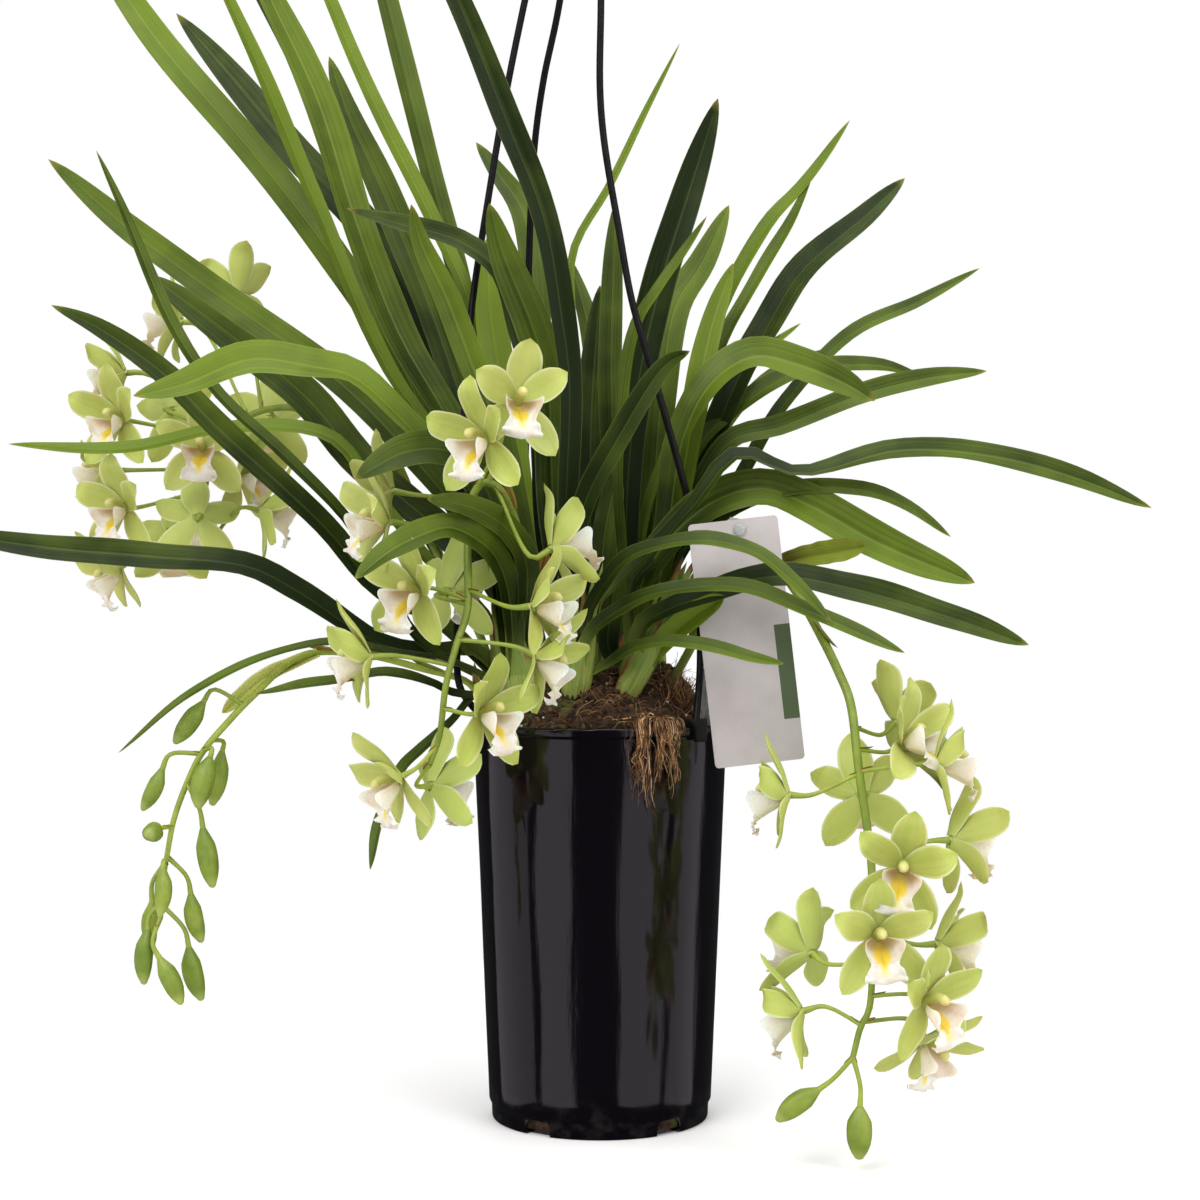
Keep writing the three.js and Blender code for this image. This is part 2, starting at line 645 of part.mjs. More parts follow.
// The sprays. A rachis is [px, py, front] points from its bulb to its tip. A bloom is its hub
// [px, py, front], its [yaw, pitch, roll], and where its stalk leaves the rachis [px, py].
// A bud is its stalk's start [px, py], its base and tip [px, py, front] and its radius.
const SPRAYS = {
  spray_right: {
    stem: 2.4,
    foot: [38, 14],
    rachis: [
      [712, 610, 18], [742, 562, 30], [775, 566, 36], [795, 590, 41], [821, 636, 56],
      [839, 673, 72], [850, 701, 80], [859, 771, 92], [871, 860, 100], [872, 898, 104],
      [869, 1010, 112], [861, 1026, 114], [853, 1057, 117],
    ],
    bract: [[768, 566, 34], [805, 556, 38], [865, 546, 48], 13],
    blooms: {
      a0: [[895, 722, 66], [125, 35, 0], [861, 727]],
      a1: [[901, 745, 92], [50, 25, 10], [862, 749]],
      a2: [[935, 763, 104], [82, 5, 5], [860, 771]],
      a3: [[863, 796, 66], [180, 5, 10], [862, 780]],
      a4: [[789, 795, 92], [-95, 0, 0], [858, 773]],
      a5: [[949, 840, 86], [112, 0, 10], [871, 855]],
      a6: [[902, 867, 124], [-8, -8, 12], [871, 858]],
      a7: [[877, 935, 130], [4, -4, -4], [872, 915]],
      a8: [[812, 953, 88], [-142, 22, 0], [870, 962]],
      a9: [[936, 944, 92], [100, 0, 8], [871, 930]],
      a10: [[803, 1011, 106], [-98, -14, -8], [862, 1024]],
      a11: [[925, 1000, 126], [34, -6, -6], [870, 996]],
      a12: [[925, 1038, 96], [36, -42, 20], [864, 1022]],
    },
    buds: {
      tip_left: [[853, 1057], [818, 1090, 116], [776, 1121, 114], 5.4],
      tip_low: [[853, 1057], [860, 1107, 118], [859, 1160, 118], 6.2],
    },
  },
  spray_front: {
    stem: 2.3,
    foot: [-34, 12],
    rachis: [
      [531, 630, 20], [526, 570, 32], [516, 524, 42], [500, 490, 52], [484, 482, 55], [473, 496, 55],
      [468, 540, 52], [467, 612, 72], [457, 643, 82], [446, 685, 88], [439, 738, 88],
      [430, 764, 88],
    ],
    bract: [[529, 600, 26], [538, 575, 30], [546, 549, 34], 8],
    blooms: {
      b1: [[517, 402, 84], [14, 2, 4], [488, 486]],
      b2: [[486, 439, 96], [-34, -6, 0], [482, 490]],
      b3: [[389, 522, 66], [-62, 4, 12], [470, 536]],
      b3b: [[393, 491, 34], [-100, 10, 10], [474, 500]],
      b4: [[418, 590, 80], [-32, -6, 8], [468, 600]],
      b5: [[447, 592, 44], [150, 10, 0], [468, 604]],
      b6: [[371, 657, 88], [-76, -4, 0], [449, 665]],
      b7: [[532, 606, 96], [68, 4, 0], [470, 590]],
      b8: [[551, 549, 78], [112, 26, 12], [494, 486]],
      b9: [[535, 655, 92], [76, -22, 10], [459, 640]],
      b10: [[480, 714, 98], [48, 2, 2], [444, 708]],
      b11: [[430, 786, 72], [132, -4, 12], [430, 764]],
      b12: [[401, 777, 96], [-58, -26, -4], [436, 745]],
    },
    buds: {},
  },
  spray_left: {
    stem: 2.3,
    foot: [-52, -30],
    rachis: [
      [482, 640, -36], [440, 560, -50], [380, 470, -66], [305, 411, -78], [265, 410, -84],
      [230, 430, -88], [205, 490, -90], [213, 549, -90],
    ],
    bract: [[440, 560, -50], [410, 500, -52], [385, 440, -54], 9],
    blooms: {
      c1: [[238, 294, -104], [-150, 30, 0], [262, 410]],
      c2: [[182, 322, -112], [-92, 10, 0], [248, 416]],
      c3: [[126, 373, -96], [-86, 0, 0], [232, 428]],
      c4: [[122, 420, -74], [-26, 0, 0], [224, 440]],
      c5: [[171, 411, -118], [172, 0, 20], [226, 436]],
      c6: [[272, 419, -110], [196, 0, 0], [270, 410]],
      c7: [[203, 448, -64], [2, 0, 0], [216, 456]],
      c8: [[110, 470, -114], [-82, 0, 0], [212, 470]],
      c9: [[126, 508, -78], [-30, -4, 0], [206, 490]],
      c10: [[198, 518, -66], [-168, -10, 0], [206, 520]],
      c11: [[238, 476, -112], [62, 0, 0], [212, 468]],
      c12: [[259, 510, -88], [104, -6, 10], [212, 540]],
      c13: [[121, 567, -96], [-62, -30, 0], [211, 546]],
      c14: [[172, 536, -122], [178, -20, 0], [213, 549]],
    },
    buds: {},
  },
  bud_spray: {
    stem: 1.9,
    foot: [-60, 4],
    rachis: [
      [470, 684, 5], [420, 668, 10], [360, 654, 24], [301, 656, 40], [253, 696, 50], [228, 722, 54],
      [202, 753, 58], [187, 783, 60], [174, 819, 62], [168, 850, 64], [164, 875, 64], [161, 916, 66],
    ],
    bract: [[318, 652, 39], [265, 676, 46], [222, 713, 50], 9],
    blooms: {},
    buds: {
      d1: [[239, 700], [203, 703, 58], [174, 744, 60], 5],
      d2: [[202, 753], [162, 770, 62], [142, 811, 63], 4.3],
      d3: [[204, 750], [210, 758, 68], [198, 809, 72], 6],
      d3b: [[212, 740], [222, 752, 46], [212, 806, 42], 5],
      d4: [[172, 826], [158, 830, 72], [147, 836, 84], 5],
      d5: [[187, 783], [203, 829, 66], [213, 888, 66], 5.3],
      d6: [[165, 866], [163, 869, 74], [160, 917, 78], 4.5],
      d7: [[168, 856], [191, 895, 62], [202, 943, 62], 4.8],
      d8: [[166, 862], [152, 903, 52], [152, 949, 50], 4.2],
      d9: [[163, 900], [148, 930, 66], [144, 985, 68], 4.8],
      d10: [[161, 916], [160, 959, 72], [182, 1005, 74], 5],
      d11: [[162, 905], [189, 948, 62], [202, 1001, 60], 5.3],
    },
  },
};

// The point of a rachis that the front view shows nearest to [px, py].
function nearest(line, [px, py]) {
  let best = null;
  for (let i = 0; i <= 80; i++) {
    const p = line.getPoint(i / 80);
    const reach = (EYE_DISTANCE + p.y) / FOCAL;
    const off = Math.hypot(FRAME_CENTRE + p.x / reach - px, FRAME_CENTRE + (EYE_HEIGHT - p.z) / reach - py);
    if (!best || off < best.off) best = { off, p };
  }
  return best.p;
}

// A stalk leaves the rachis and comes into the back of a bloom or bud along its facing.
const STALK_RADIUS = 1.15;
const FOOT_DEPTH = 12;
function stalkLine(from, to, arrival) {
  const lead = Math.min(10, from.distanceTo(to) * 0.4);
  return [from, to.clone().addScaledVector(arrival, -lead), to];
}

// Where a spray's stem stands in the mix: its foot and a point above the soil, on the straight
// line that leads to its rachis.
function footing(at, start) {
  const [x, front] = at;
  const soil = new THREE.Vector3(x, -front, mixTop(x, -front));
  const way = spot(...start).sub(soil).normalize();
  return [-FOOT_DEPTH, FOOT_DEPTH].map((rise) => soil.clone().addScaledVector(way, rise));
}

function spray({ stem, foot: at, rachis, bract, blooms, buds }) {
  const points = [...footing(at, rachis[0]), ...rachis.map((p) => spot(...p))];
  const line = new THREE.CatmullRomCurve3(points, false, "centripetal");
  const pieces = [tube(points, stem, 5, Math.round(1.3 * points.length))];
  const [foot, middle, tip, width] = bract;
  pieces.push(leaf(spot(...foot), width, [25, 10], [spot(...middle), spot(...tip)]));
  for (const [hub, turn, leaves] of Object.values(blooms)) {
    const centre = spot(...hub);
    const { forward } = faceOf(...turn);
    const end = centre.clone().addScaledVector(forward, 1);
    pieces.push(tube(stalkLine(nearest(line, leaves), end, forward), STALK_RADIUS, 4, 2));
    pieces.push(bloom(centre, turn));
  }
  for (const [leaves, base, end, girth] of Object.values(buds)) {
    const [neck, top] = [spot(...base), spot(...end)];
    const along = top.clone().sub(neck).normalize();
    const way = [...stalkLine(nearest(line, leaves), neck, along), top];
    const share = neck.distanceTo(top) / new THREE.CatmullRomCurve3(way).getLength();
    pieces.push(budded(way, share, girth));
  }
  return joined(pieces);
}

// A bud on its stalk, one tapered body: the last `share` of the line is the bud.
function budded(way, share, girth) {
  const line = new THREE.CatmullRomCurve3(way, false, "centripetal");
  const stations = [0, 0.55, 0.97].map((s) => s * (1 - share));
  const swell = [0.3, 0.72].map((s) => 1 - share + s * share);
  const at = [...stations, ...swell, 1].map((s) => line.getPointAt(s));
  const radii = [1, 1, 1.2].map((r) => r * STALK_RADIUS);
  return tapered(at, [...radii, girth, 0.88 * girth, 0], 5);
}

// A straight rod from one point to another, to stand in the mix or to bore its hole.
function bar(from, to, radius, sides) {
  return tube([from, to], radius, sides, 1);
}

for (const [name, parts] of Object.entries(SPRAYS)) {
  add(name, spray(parts), "#b5c864", 0.5);
  const [low, high] = footing(parts.foot, parts.rachis[0]);
  const below = low.clone().addScaledVector(high.clone().sub(low).normalize(), -0.5);
  mix = mix.subtract(solid(bar(below, high, parts.stem + 0.6, 8)));
}

// A point at an angle round the pot's axis.
function round(radius, angle, z) {
  const a = THREE.MathUtils.degToRad(angle);
  return new THREE.Vector3(radius * Math.cos(a), radius * Math.sin(a), z);
}

// The hanger's leg: a wire from under the crown to a clip that sits over the pot's lip. A leg
// has its clip's angle round the pot, where it leaves the crown [x, y] and its course.
const CROWN = { x: -3.3, radius: 9, bottom: 764, height: 6 };
const CLIP = { inside: 64, outside: 72.4, top: 217, width: 9, inner: 209.5, outer: 205, wall: 2.1 };
const LEGS = {
  hanger_leg_left: {
    angle: -153,
    top: [-4.6, -2.6],
    course: [
      [525, 0, -6], [506, 94, -7], [488, 200, -8], [472, 306, -10], [466, 390, 6], [462, 450, 9],
      [460, 510, 8], [460, 563, 6],
      [457, 640, 14], [461, 690, 26],
    ],
  },
  hanger_leg_back: {
    angle: 117,
    top: [0, 5.2],
    course: [
      [560, 0, -22], [543, 83, -28], [534, 152, -34], [528, 300, -44], [526, 430, -59], [526, 530, -66],
      [528, 610, -67], [538, 680, -66],
    ],
  },
  hanger_leg_right: {
    angle: -43,
    top: [4.6, -2.6],
    course: [
      [601, 0, 0], [600, 89, 0], [604, 140, 0], [619, 230, 3], [632, 301, 6], [655, 380, 9],
      [683, 480, 13], [693, 520, 14], [699, 600, 24], [700, 670, 36],
    ],
  },
};
function clip(angle) {
  const { inside, outside, top, width, inner, outer, wall } = CLIP;
  const profile = [
    [inside, inner], [inside + wall, inner], [inside + wall, POT_HEIGHT + CLEARANCE],
    [outside - wall, POT_HEIGHT + CLEARANCE], [outside - wall, outer], [outside, outer],
    [outside, top], [inside, top],
  ];
  const outline = new THREE.Shape(profile.map(([r, z]) => new THREE.Vector2(r, z)));
  const made = new THREE.ExtrudeGeometry(outline, { depth: width, bevelEnabled: false });
  made.rotateX(Math.PI / 2).translate(0, width / 2, 0);
  return made.rotateZ(THREE.MathUtils.degToRad(angle));
}
for (const [name, { angle, top, course: way }] of Object.entries(LEGS)) {
  const [x, y] = [CROWN.x + top[0], top[1]];
  const points = [
    new THREE.Vector3(x, y, CROWN.bottom - CLEARANCE),
    new THREE.Vector3(x, y, CROWN.bottom - 12),
    ...way.map((p) => spot(...p)),
    round((CLIP.inside + CLIP.outside) / 2, angle, CLIP.top - 1.6),
  ];
  const wire = tube(points, HANGER_WIRE / 2, 6, 18);
  add(name, joined([wire, clip(angle)]), "#141416", 0.4);
}

// The hanger's crown, with the hook that rises from it.
const HOOK = { radius: 13, rise: 37, angles: [-118, -150, 178, 145, 110, 75, 40, 5, -30] };
const crownTop = CROWN.bottom + CROWN.height;
const crown = new THREE.CylinderGeometry(CROWN.radius, CROWN.radius, CROWN.height, 12);
crown.rotateX(Math.PI / 2).translate(CROWN.x, 0, crownTop - CROWN.height / 2);
const hookLine = [
  [0, -3], [0, 0.45 * HOOK.rise],
  ...HOOK.angles.map((degrees) => {
    const a = THREE.MathUtils.degToRad(degrees);
    return [HOOK.radius * Math.cos(a), HOOK.rise + HOOK.radius * Math.sin(a)];
  }),
].map(([x, z]) => new THREE.Vector3(CROWN.x + x, 0, crownTop + z));
add("hanger_hook", joined([crown, tube(hookLine, HANGER_WIRE / 2, 6, 16)]), "#141416", 0.4);

// The label: an upright card hung by a round hole on the peg of its stake.
const tagMiddle = spot(746.25, 641.75, 44);
const pegAt = spot(739.5, 530, 44);
const lean = -THREE.MathUtils.degToRad(TAG.lean);
const card = new THREE.Shape();
card.moveTo(-TAG.width / 2, -TAG.height / 2);
card.lineTo(TAG.width / 2, -TAG.height / 2);
card.lineTo(TAG.width / 2, TAG.height / 2);
card.lineTo(-TAG.width / 2, TAG.height / 2);
card.closePath();
const pegLocal = pegAt.clone().sub(tagMiddle).applyAxisAngle(new THREE.Vector3(0, 1, 0), -lean);
const pegHole = new THREE.Path();
pegHole.absarc(pegLocal.x, pegLocal.z, PEG_RADIUS + CLEARANCE, 0, 2 * Math.PI, true);
card.holes.push(pegHole);
const tag = new THREE.ExtrudeGeometry(card, {
  depth: TAG.thick,
  bevelEnabled: false,
  curveSegments: 6,
});
tag.rotateX(Math.PI / 2).translate(0, TAG.thick / 2, 0).rotateY(lean);
add("tag", solid(tag.translate(...tagMiddle.toArray())), "#c4c0ba", 0.55);

// The stake: a flat strip that stands in a slot in the mix and leans forward to the label. Its
// peg goes through the card, with a round head in front of it.
const stakeFoot = new THREE.Vector3(52, -25, 195);
const stakeTop = pegAt.clone().add(new THREE.Vector3(0, 2.1, 6));
function strip(grow) {
  const length = stakeFoot.distanceTo(stakeTop) + grow;
  const box = new THREE.BoxGeometry(STAKE.width + 2 * grow, STAKE.thick + 2 * grow, length);
  const up = stakeTop.clone().sub(stakeFoot).normalize();
  const side = new THREE.Vector3(1, 0, 0).addScaledVector(up, -up.x).normalize();
  const middle = stakeFoot.clone().addScaledVector(up, length / 2 - grow);
  const turn = new THREE.Matrix4().makeBasis(side, up.clone().cross(side), up);
  return box.applyMatrix4(turn.setPosition(middle));
}
const headBack = TAG.thick / 2 + CLEARANCE;
const peg = bar(
  pegAt.clone().add(new THREE.Vector3(0, 2.2, 0)),
  pegAt.clone().add(new THREE.Vector3(0, -headBack - 0.6, 0)),
  PEG_RADIUS,
  8,
);
const head = bar(
  pegAt.clone().add(new THREE.Vector3(0, -headBack, 0)),
  pegAt.clone().add(new THREE.Vector3(0, -headBack - 1.2, 0)),
  2 * PEG_RADIUS,
  8,
);
add("label_stake", joined([strip(0), peg, head]), "#8f9492", 0.3);
mix = mix.subtract(solid(strip(0.4)));

// The roots that have come over the rim at the front: strands from a knot in the mix.
const ROOT_RADIUS = 0.9;
const KNOT = { radius: 59, angle: -63, low: 203, high: 219, girth: 3.2 };
const STRANDS = [
  [-75, -74, -74, 184], [-70, -71, -72, 176], [-66, -67, -69, 167], [-62, -61, -63, 181],
  [-57, -56, -55, 190],
];
function knot(grow) {
  const { radius, angle, low, high, girth } = KNOT;
  return egg(round(radius, angle, low - grow), round(radius, angle, high + grow), girth + grow, 7);
}
const strands = STRANDS.map(([over, middle, end, z]) =>
  tube(
    [
      round(KNOT.radius, KNOT.angle, 214),
      round(RIM_RADIUS - 4.5, (over + KNOT.angle) / 2, 217),
      round(RIM_RADIUS, over, 217),
      round(RIM_RADIUS + 2.5, over, 211.5),
      round(RIM_RADIUS + 2, middle, (211 + z) / 2),
      round(RIM_RADIUS + 1.4, end, z),
    ],
    ROOT_RADIUS,
    4,
    6,
  ),
);
add("hanging_roots", joined([knot(0), ...strands]), "#a9743b", 0.8);
mix = mix.subtract(solid(knot(0.4)));

add("pot", pot, "#1b1a1d", 0.25);
add("growing_mix", mix, "#3a2a1d", 0.95);

export default orchid;
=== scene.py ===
import math
import bmesh
import bpy
import numpy as np
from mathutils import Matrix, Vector, noise


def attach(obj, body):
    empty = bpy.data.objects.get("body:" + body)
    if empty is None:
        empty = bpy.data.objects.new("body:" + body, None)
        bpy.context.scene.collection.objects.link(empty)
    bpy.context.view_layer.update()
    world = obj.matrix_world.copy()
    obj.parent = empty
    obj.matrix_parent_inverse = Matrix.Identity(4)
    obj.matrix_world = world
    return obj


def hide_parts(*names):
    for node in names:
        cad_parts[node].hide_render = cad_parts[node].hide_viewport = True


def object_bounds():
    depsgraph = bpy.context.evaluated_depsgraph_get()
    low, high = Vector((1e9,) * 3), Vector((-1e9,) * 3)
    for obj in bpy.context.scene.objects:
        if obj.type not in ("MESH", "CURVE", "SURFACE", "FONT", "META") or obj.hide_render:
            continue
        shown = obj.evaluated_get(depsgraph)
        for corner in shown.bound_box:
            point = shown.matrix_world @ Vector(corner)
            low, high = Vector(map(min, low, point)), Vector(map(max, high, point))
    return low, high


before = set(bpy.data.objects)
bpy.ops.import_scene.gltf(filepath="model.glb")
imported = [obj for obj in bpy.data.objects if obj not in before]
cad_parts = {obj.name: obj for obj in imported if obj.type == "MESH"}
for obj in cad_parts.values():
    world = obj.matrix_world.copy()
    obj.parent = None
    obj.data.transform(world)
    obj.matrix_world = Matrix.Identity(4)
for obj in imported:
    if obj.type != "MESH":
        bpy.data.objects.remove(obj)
cad_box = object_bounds()

# The eye and the studio: the eye is level in front of the pot, in a white room lit from the
# front and above. Four tall dim panels stand round the pot, and its wall mirrors each as an
# upright band. Shapes are worked out in mm and made in metres.
MM = 0.001
EYE_DISTANCE, EYE_HEIGHT = 1150, 278.7
FOCAL, FRAME_SIZE, SENSOR = 2119, 1200, 36


def new_object(name, data):
    """Something that stands in the scene."""
    made = bpy.data.objects.new(name, data)
    bpy.context.scene.collection.objects.link(made)
    return made


camera_data = bpy.data.cameras.new("eye")
camera_data.sensor_width = SENSOR
camera_data.lens = SENSOR * FOCAL / FRAME_SIZE
camera = new_object("eye", camera_data)
camera.location = (0, -EYE_DISTANCE * MM, EYE_HEIGHT * MM)
camera.rotation_euler = (math.pi / 2, 0, 0)
bpy.context.scene.camera = camera
bpy.context.scene.view_settings.view_transform = "Standard"


def soft_box(name, place, wide, high, watts, aim=(0, 0, 0.3), colour=(1, 1, 1)):
    """A soft box that faces a point of the plant and isn't seen itself."""
    light = bpy.data.lights.new(name, "AREA")
    light.shape, light.size, light.size_y = "RECTANGLE", wide, high
    light.energy, light.color = watts, colour
    box = new_object(name, light)
    box.location, box.visible_camera = place, False
    box.rotation_euler = (Vector(aim) - Vector(place)).to_track_quat("-Z", "Y").to_euler()


soft_box("key box", (-0.8, -1.5, 1.9), 1.3, 1.3, 26)
soft_box("fill box", (1.2, -1.3, 1.6), 1.1, 1.1, 12)
soft_box("top box", (0.2, -0.1, 2.3), 1.8, 1.8, 20)
soft_box("back box", (0.2, 1.9, 1.5), 1.6, 1.2, 9)
for azimuth, wide, watts in ((-94, 1.7, 7), (-42.5, 1.1, 7), (42, 1.35, 8), (90, 1.2, 6)):
    a, aim = math.radians(azimuth), (0, 0, 0.45)
    place = (1.7 * math.sin(a), -1.7 * math.cos(a), 0.45)
    soft_box(f"panel {azimuth}", place, wide, 2.2, watts, aim, (1, 0.9, 1.02))

room = bpy.data.worlds.new("white room")
bpy.context.scene.world = room
room.use_nodes = True
nodes, links = room.node_tree.nodes, room.node_tree.links
white = nodes["Background"]
white.inputs["Color"].default_value = (1, 1, 1, 1)
which_ray = nodes.new("ShaderNodeLightPath")
# White to the eye, softer as light, and dim where a gloss mirrors it.
to_eye, as_mirrored = nodes.new("ShaderNodeMath"), nodes.new("ShaderNodeMath")
for step, ray, change in ((to_eye, "Is Camera Ray", 0.34), (as_mirrored, "Is Glossy Ray", -0.63)):
    step.operation = "MULTIPLY_ADD"
    step.inputs[1].default_value = change
    step.inputs[2].default_value = 0.66
    links.new(which_ray.outputs[ray], step.inputs[0])
links.new(to_eye.outputs[0], as_mirrored.inputs[2])
links.new(as_mirrored.outputs[0], white.inputs["Strength"])

# The pot: one thin shell of glossy black plastic, drawn down from sheet, with a rolled lip, a
# foot band set in, and drain slots cut in the foot. Its wall has the long shallow waves that
# such thin sheet keeps, which break up what it mirrors.
RIM, SHOULDER, FOOT = 70, 60, 58.4
POT_HEIGHT, FOOT_HEIGHT, LIP_HEIGHT, LIP_OUT = 213, 9, 5, 1.5
WALL, POT_FLOOR = 1.6, 2.4
POT_SIDES = 144
WALL_WAVE = 0.2
SLOT_WIDTH, SLOT_HEIGHT, SLOT_DEPTH = 15, 8.5, 8
SLOT_ANGLES = (-124, -52, 16, 92, 164)


def paint(code):
    """A colour written #rrggbb, as the shader's own values."""
    shares = [int(code[i : i + 2], 16) / 255 for i in (1, 3, 5)]
    return [s / 12.92 if s < 0.04045 else ((s + 0.055) / 1.055) ** 2.4 for s in shares] + [1]


class Field:
    """A number that changes over a surface, for its finish to reckon with."""

    def __init__(self, finish, socket):
        self.finish, self.socket = finish, socket

    def math(self, operation, *others):
        return self.finish.node("Math", dict(enumerate((self, *others))), operation=operation)

    def __add__(self, other):
        return self.math("ADD", other)

    def __mul__(self, other):
        return self.math("MULTIPLY", other)

    def __abs__(self):
        return self.math("ABSOLUTE")

    def fade(self, low, high, least=0, most=1):
        """From least at low to most at high, without a corner."""
        sockets = ("Value", "From Min", "From Max", "To Min", "To Max")
        inputs = dict(zip(sockets, (self, low, high, least, most)))
        return self.finish.node("MapRange", inputs, interpolation_type="SMOOTHSTEP")

    def stretched(self, scale):
        return self.finish.node("Mapping", {"Vector": self, "Scale": scale})

    def split(self):
        node = self.finish.node("SeparateXYZ", {"Vector": self}).socket.node
        return [Field(self.finish, output) for output in node.outputs]


class Finish:
    """A material: its shader's plain sockets, and ways to lay colour and relief on it."""

    WORDS = {
        "specular": "Specular IOR Level", "rough": "Roughness", "coat": "Coat Weight",
        "coat_rough": "Coat Roughness", "inside": "Subsurface Weight", "depth": "Subsurface Scale",
    }

    def __init__(self, name, **sockets):
        self.material = bpy.data.materials.new(name)
        self.material.use_nodes = True
        self.tree = self.material.node_tree
        self.shader = self.tree.nodes["Principled BSDF"].inputs
        for word, value in sockets.items():
            self.shader[self.WORDS[word]].default_value = value
        self.where = self.node("TexCoord", {}, "Object")

    def feed(self, socket, value):
        if isinstance(value, Field):
            self.tree.links.new(value.socket, socket)
        else:
            socket.default_value = value

    def node(self, kind, inputs, output=0, **settings):
        made = self.tree.nodes.new("ShaderNode" + kind)
        for setting, value in settings.items():
            setattr(made, setting, value)
        for socket, value in inputs.items():
            self.feed(made.inputs[socket], value)
        return Field(self, made.outputs[output])

    def carried(self, name):
        """The vector that each point of the mesh carries under a name."""
        return self.node("Attribute", {}, "Vector", attribute_name=name)

    def mottle(self, size, detail=3, rough=0.55, where=None):
        """Cloudy patches of about this size in metres, from 0 to 1."""
        where = where or self.where
        inputs = {"Vector": where, "Scale": 1 / size, "Detail": detail, "Roughness": rough}
        return self.node("TexNoise", inputs)

    def strokes(self, scale, detail):
        """Fine lines that run along the piece."""
        return self.mottle(1, detail, where=self.carried("lay").stretched(scale))

    def blend(self, share, base, over):
        """From one colour to another, each a code or a blend."""
        base, over = (paint(c) if isinstance(c, str) else c for c in (base, over))
        return self.node("Mix", {0: share, 6: base, 7: over}, 2, data_type="RGBA")

    def colour(self, share, over, base=None):
        """Lays a colour over what is there, or at first over a base."""
        self.tint = self.blend(share, base or self.tint, over)
        self.feed(self.shader["Base Color"], self.tint)

    def gloss(self, value):
        self.feed(self.shader["Roughness"], value)

    def relief(self, height, depth):
        """Raises the surface by up to `depth` metres."""
        inputs = {"Height": height, "Strength": 1, "Distance": depth}
        self.feed(self.shader["Normal"], self.node("Bump", inputs, "Normal"))


def body_mesh(name, points, faces, sharp=40):
    """A mesh with smooth faces, creased where two meet at more than `sharp` degrees."""
    mesh = bpy.data.meshes.new(name)
    mesh.from_pydata(np.asarray(points, float) * MM, [], faces)
    mesh.shade_smooth()
    mesh.set_sharp_from_angle(angle=math.radians(sharp))
    return mesh


def quad_rows(rows, sides):
    """The faces between rings of points, which are numbered ring by ring."""
    return [
        (low + k, low + (k + 1) % sides, low + sides + (k + 1) % sides, low + sides + k)
        for low in range(0, (rows - 1) * sides, sides) for k in range(sides)
    ]


def ring_skin(rings, first=None, last=None):
    """The closed skin over rings of points. An end closes in a point of its own, or flat."""
    rings = np.asarray(rings, float)
    rows, sides = rings.shape[:2]
    points, faces = list(rings.reshape(-1, 3)), quad_rows(rows, sides)
    for end, start, way in ((first, 0, -1), (last, (rows - 1) * sides, 1)):
        around = list(range(start, start + sides))[::way]
        if end is None:
            faces.append(around)
        else:
            faces += [(a, b, len(points)) for a, b in zip(around, around[1:] + around[:1])]
            points.append(end)
    return np.array(points), faces


def turned_body(profile, sides, wave=lambda turns, height: 0):
    """A body of revolution from (radius, height) points that start and end on its axis."""
    turns = math.tau * np.arange(sides) / sides
    rings = []
    for radius, height in profile[1:-1]:
        r = radius + wave(turns, height)
        rings.append(np.column_stack([r * np.cos(turns), r * np.sin(turns), turns * 0 + height]))
    return ring_skin(rings, (0, 0, profile[0][1]), (0, 0, profile[-1][1]))


def wall_wave(turns, height):
    """The long upright waves of the pot's wall, which die out at the foot and the lip."""
    share = (height - FOOT_HEIGHT) / (POT_HEIGHT - FOOT_HEIGHT - LIP_HEIGHT)
    free = math.sin(math.pi * min(max(share, 0), 1)) ** 0.5
    drift = 0.009 * height + 0.6 * math.sin(height / 31)
    ripple = np.sin(5 * turns + drift) + 0.6 * np.sin(11 * turns - 2 * drift + 1)
    return WALL_WAVE * free * (ripple + 0.5 * np.sin(17 * turns + 3 * drift))


lip_under, lip_inside = POT_HEIGHT - LIP_HEIGHT, RIM - LIP_OUT - WALL
slope = (RIM - LIP_OUT - SHOULDER) / (lip_under - FOOT_HEIGHT)
pot_profile = [
    (0, 0), (FOOT - 1.2, 0), (FOOT - 0.3, 0.3), (FOOT, 1.1), (FOOT + 0.3, FOOT_HEIGHT - 0.8),
    (FOOT + 0.5, FOOT_HEIGHT), (SHOULDER - 0.2, FOOT_HEIGHT + 0.7),
    *[(SHOULDER + slope * (z - FOOT_HEIGHT), z)
      for z in np.linspace(FOOT_HEIGHT + 1.6, lip_under - 1.2, 22)],
    (RIM - 1.3, lip_under - 0.3), (RIM - 0.4, lip_under), (RIM, lip_under + 0.8),
    (RIM, POT_HEIGHT - 1), (RIM - 0.4, POT_HEIGHT - 0.3), (RIM - 1.2, POT_HEIGHT),
    (lip_inside + 0.7, POT_HEIGHT), (lip_inside + 0.1, POT_HEIGHT - 0.5),
    (lip_inside, POT_HEIGHT - 2), (SHOULDER - WALL - 0.6, POT_FLOOR + 8),
    (FOOT - WALL, POT_FLOOR), (0, POT_FLOOR),
]
shell = turned_body(pot_profile, POT_SIDES, wall_wave)
pot = new_object("pot_shell", body_mesh("pot shell", *shell))

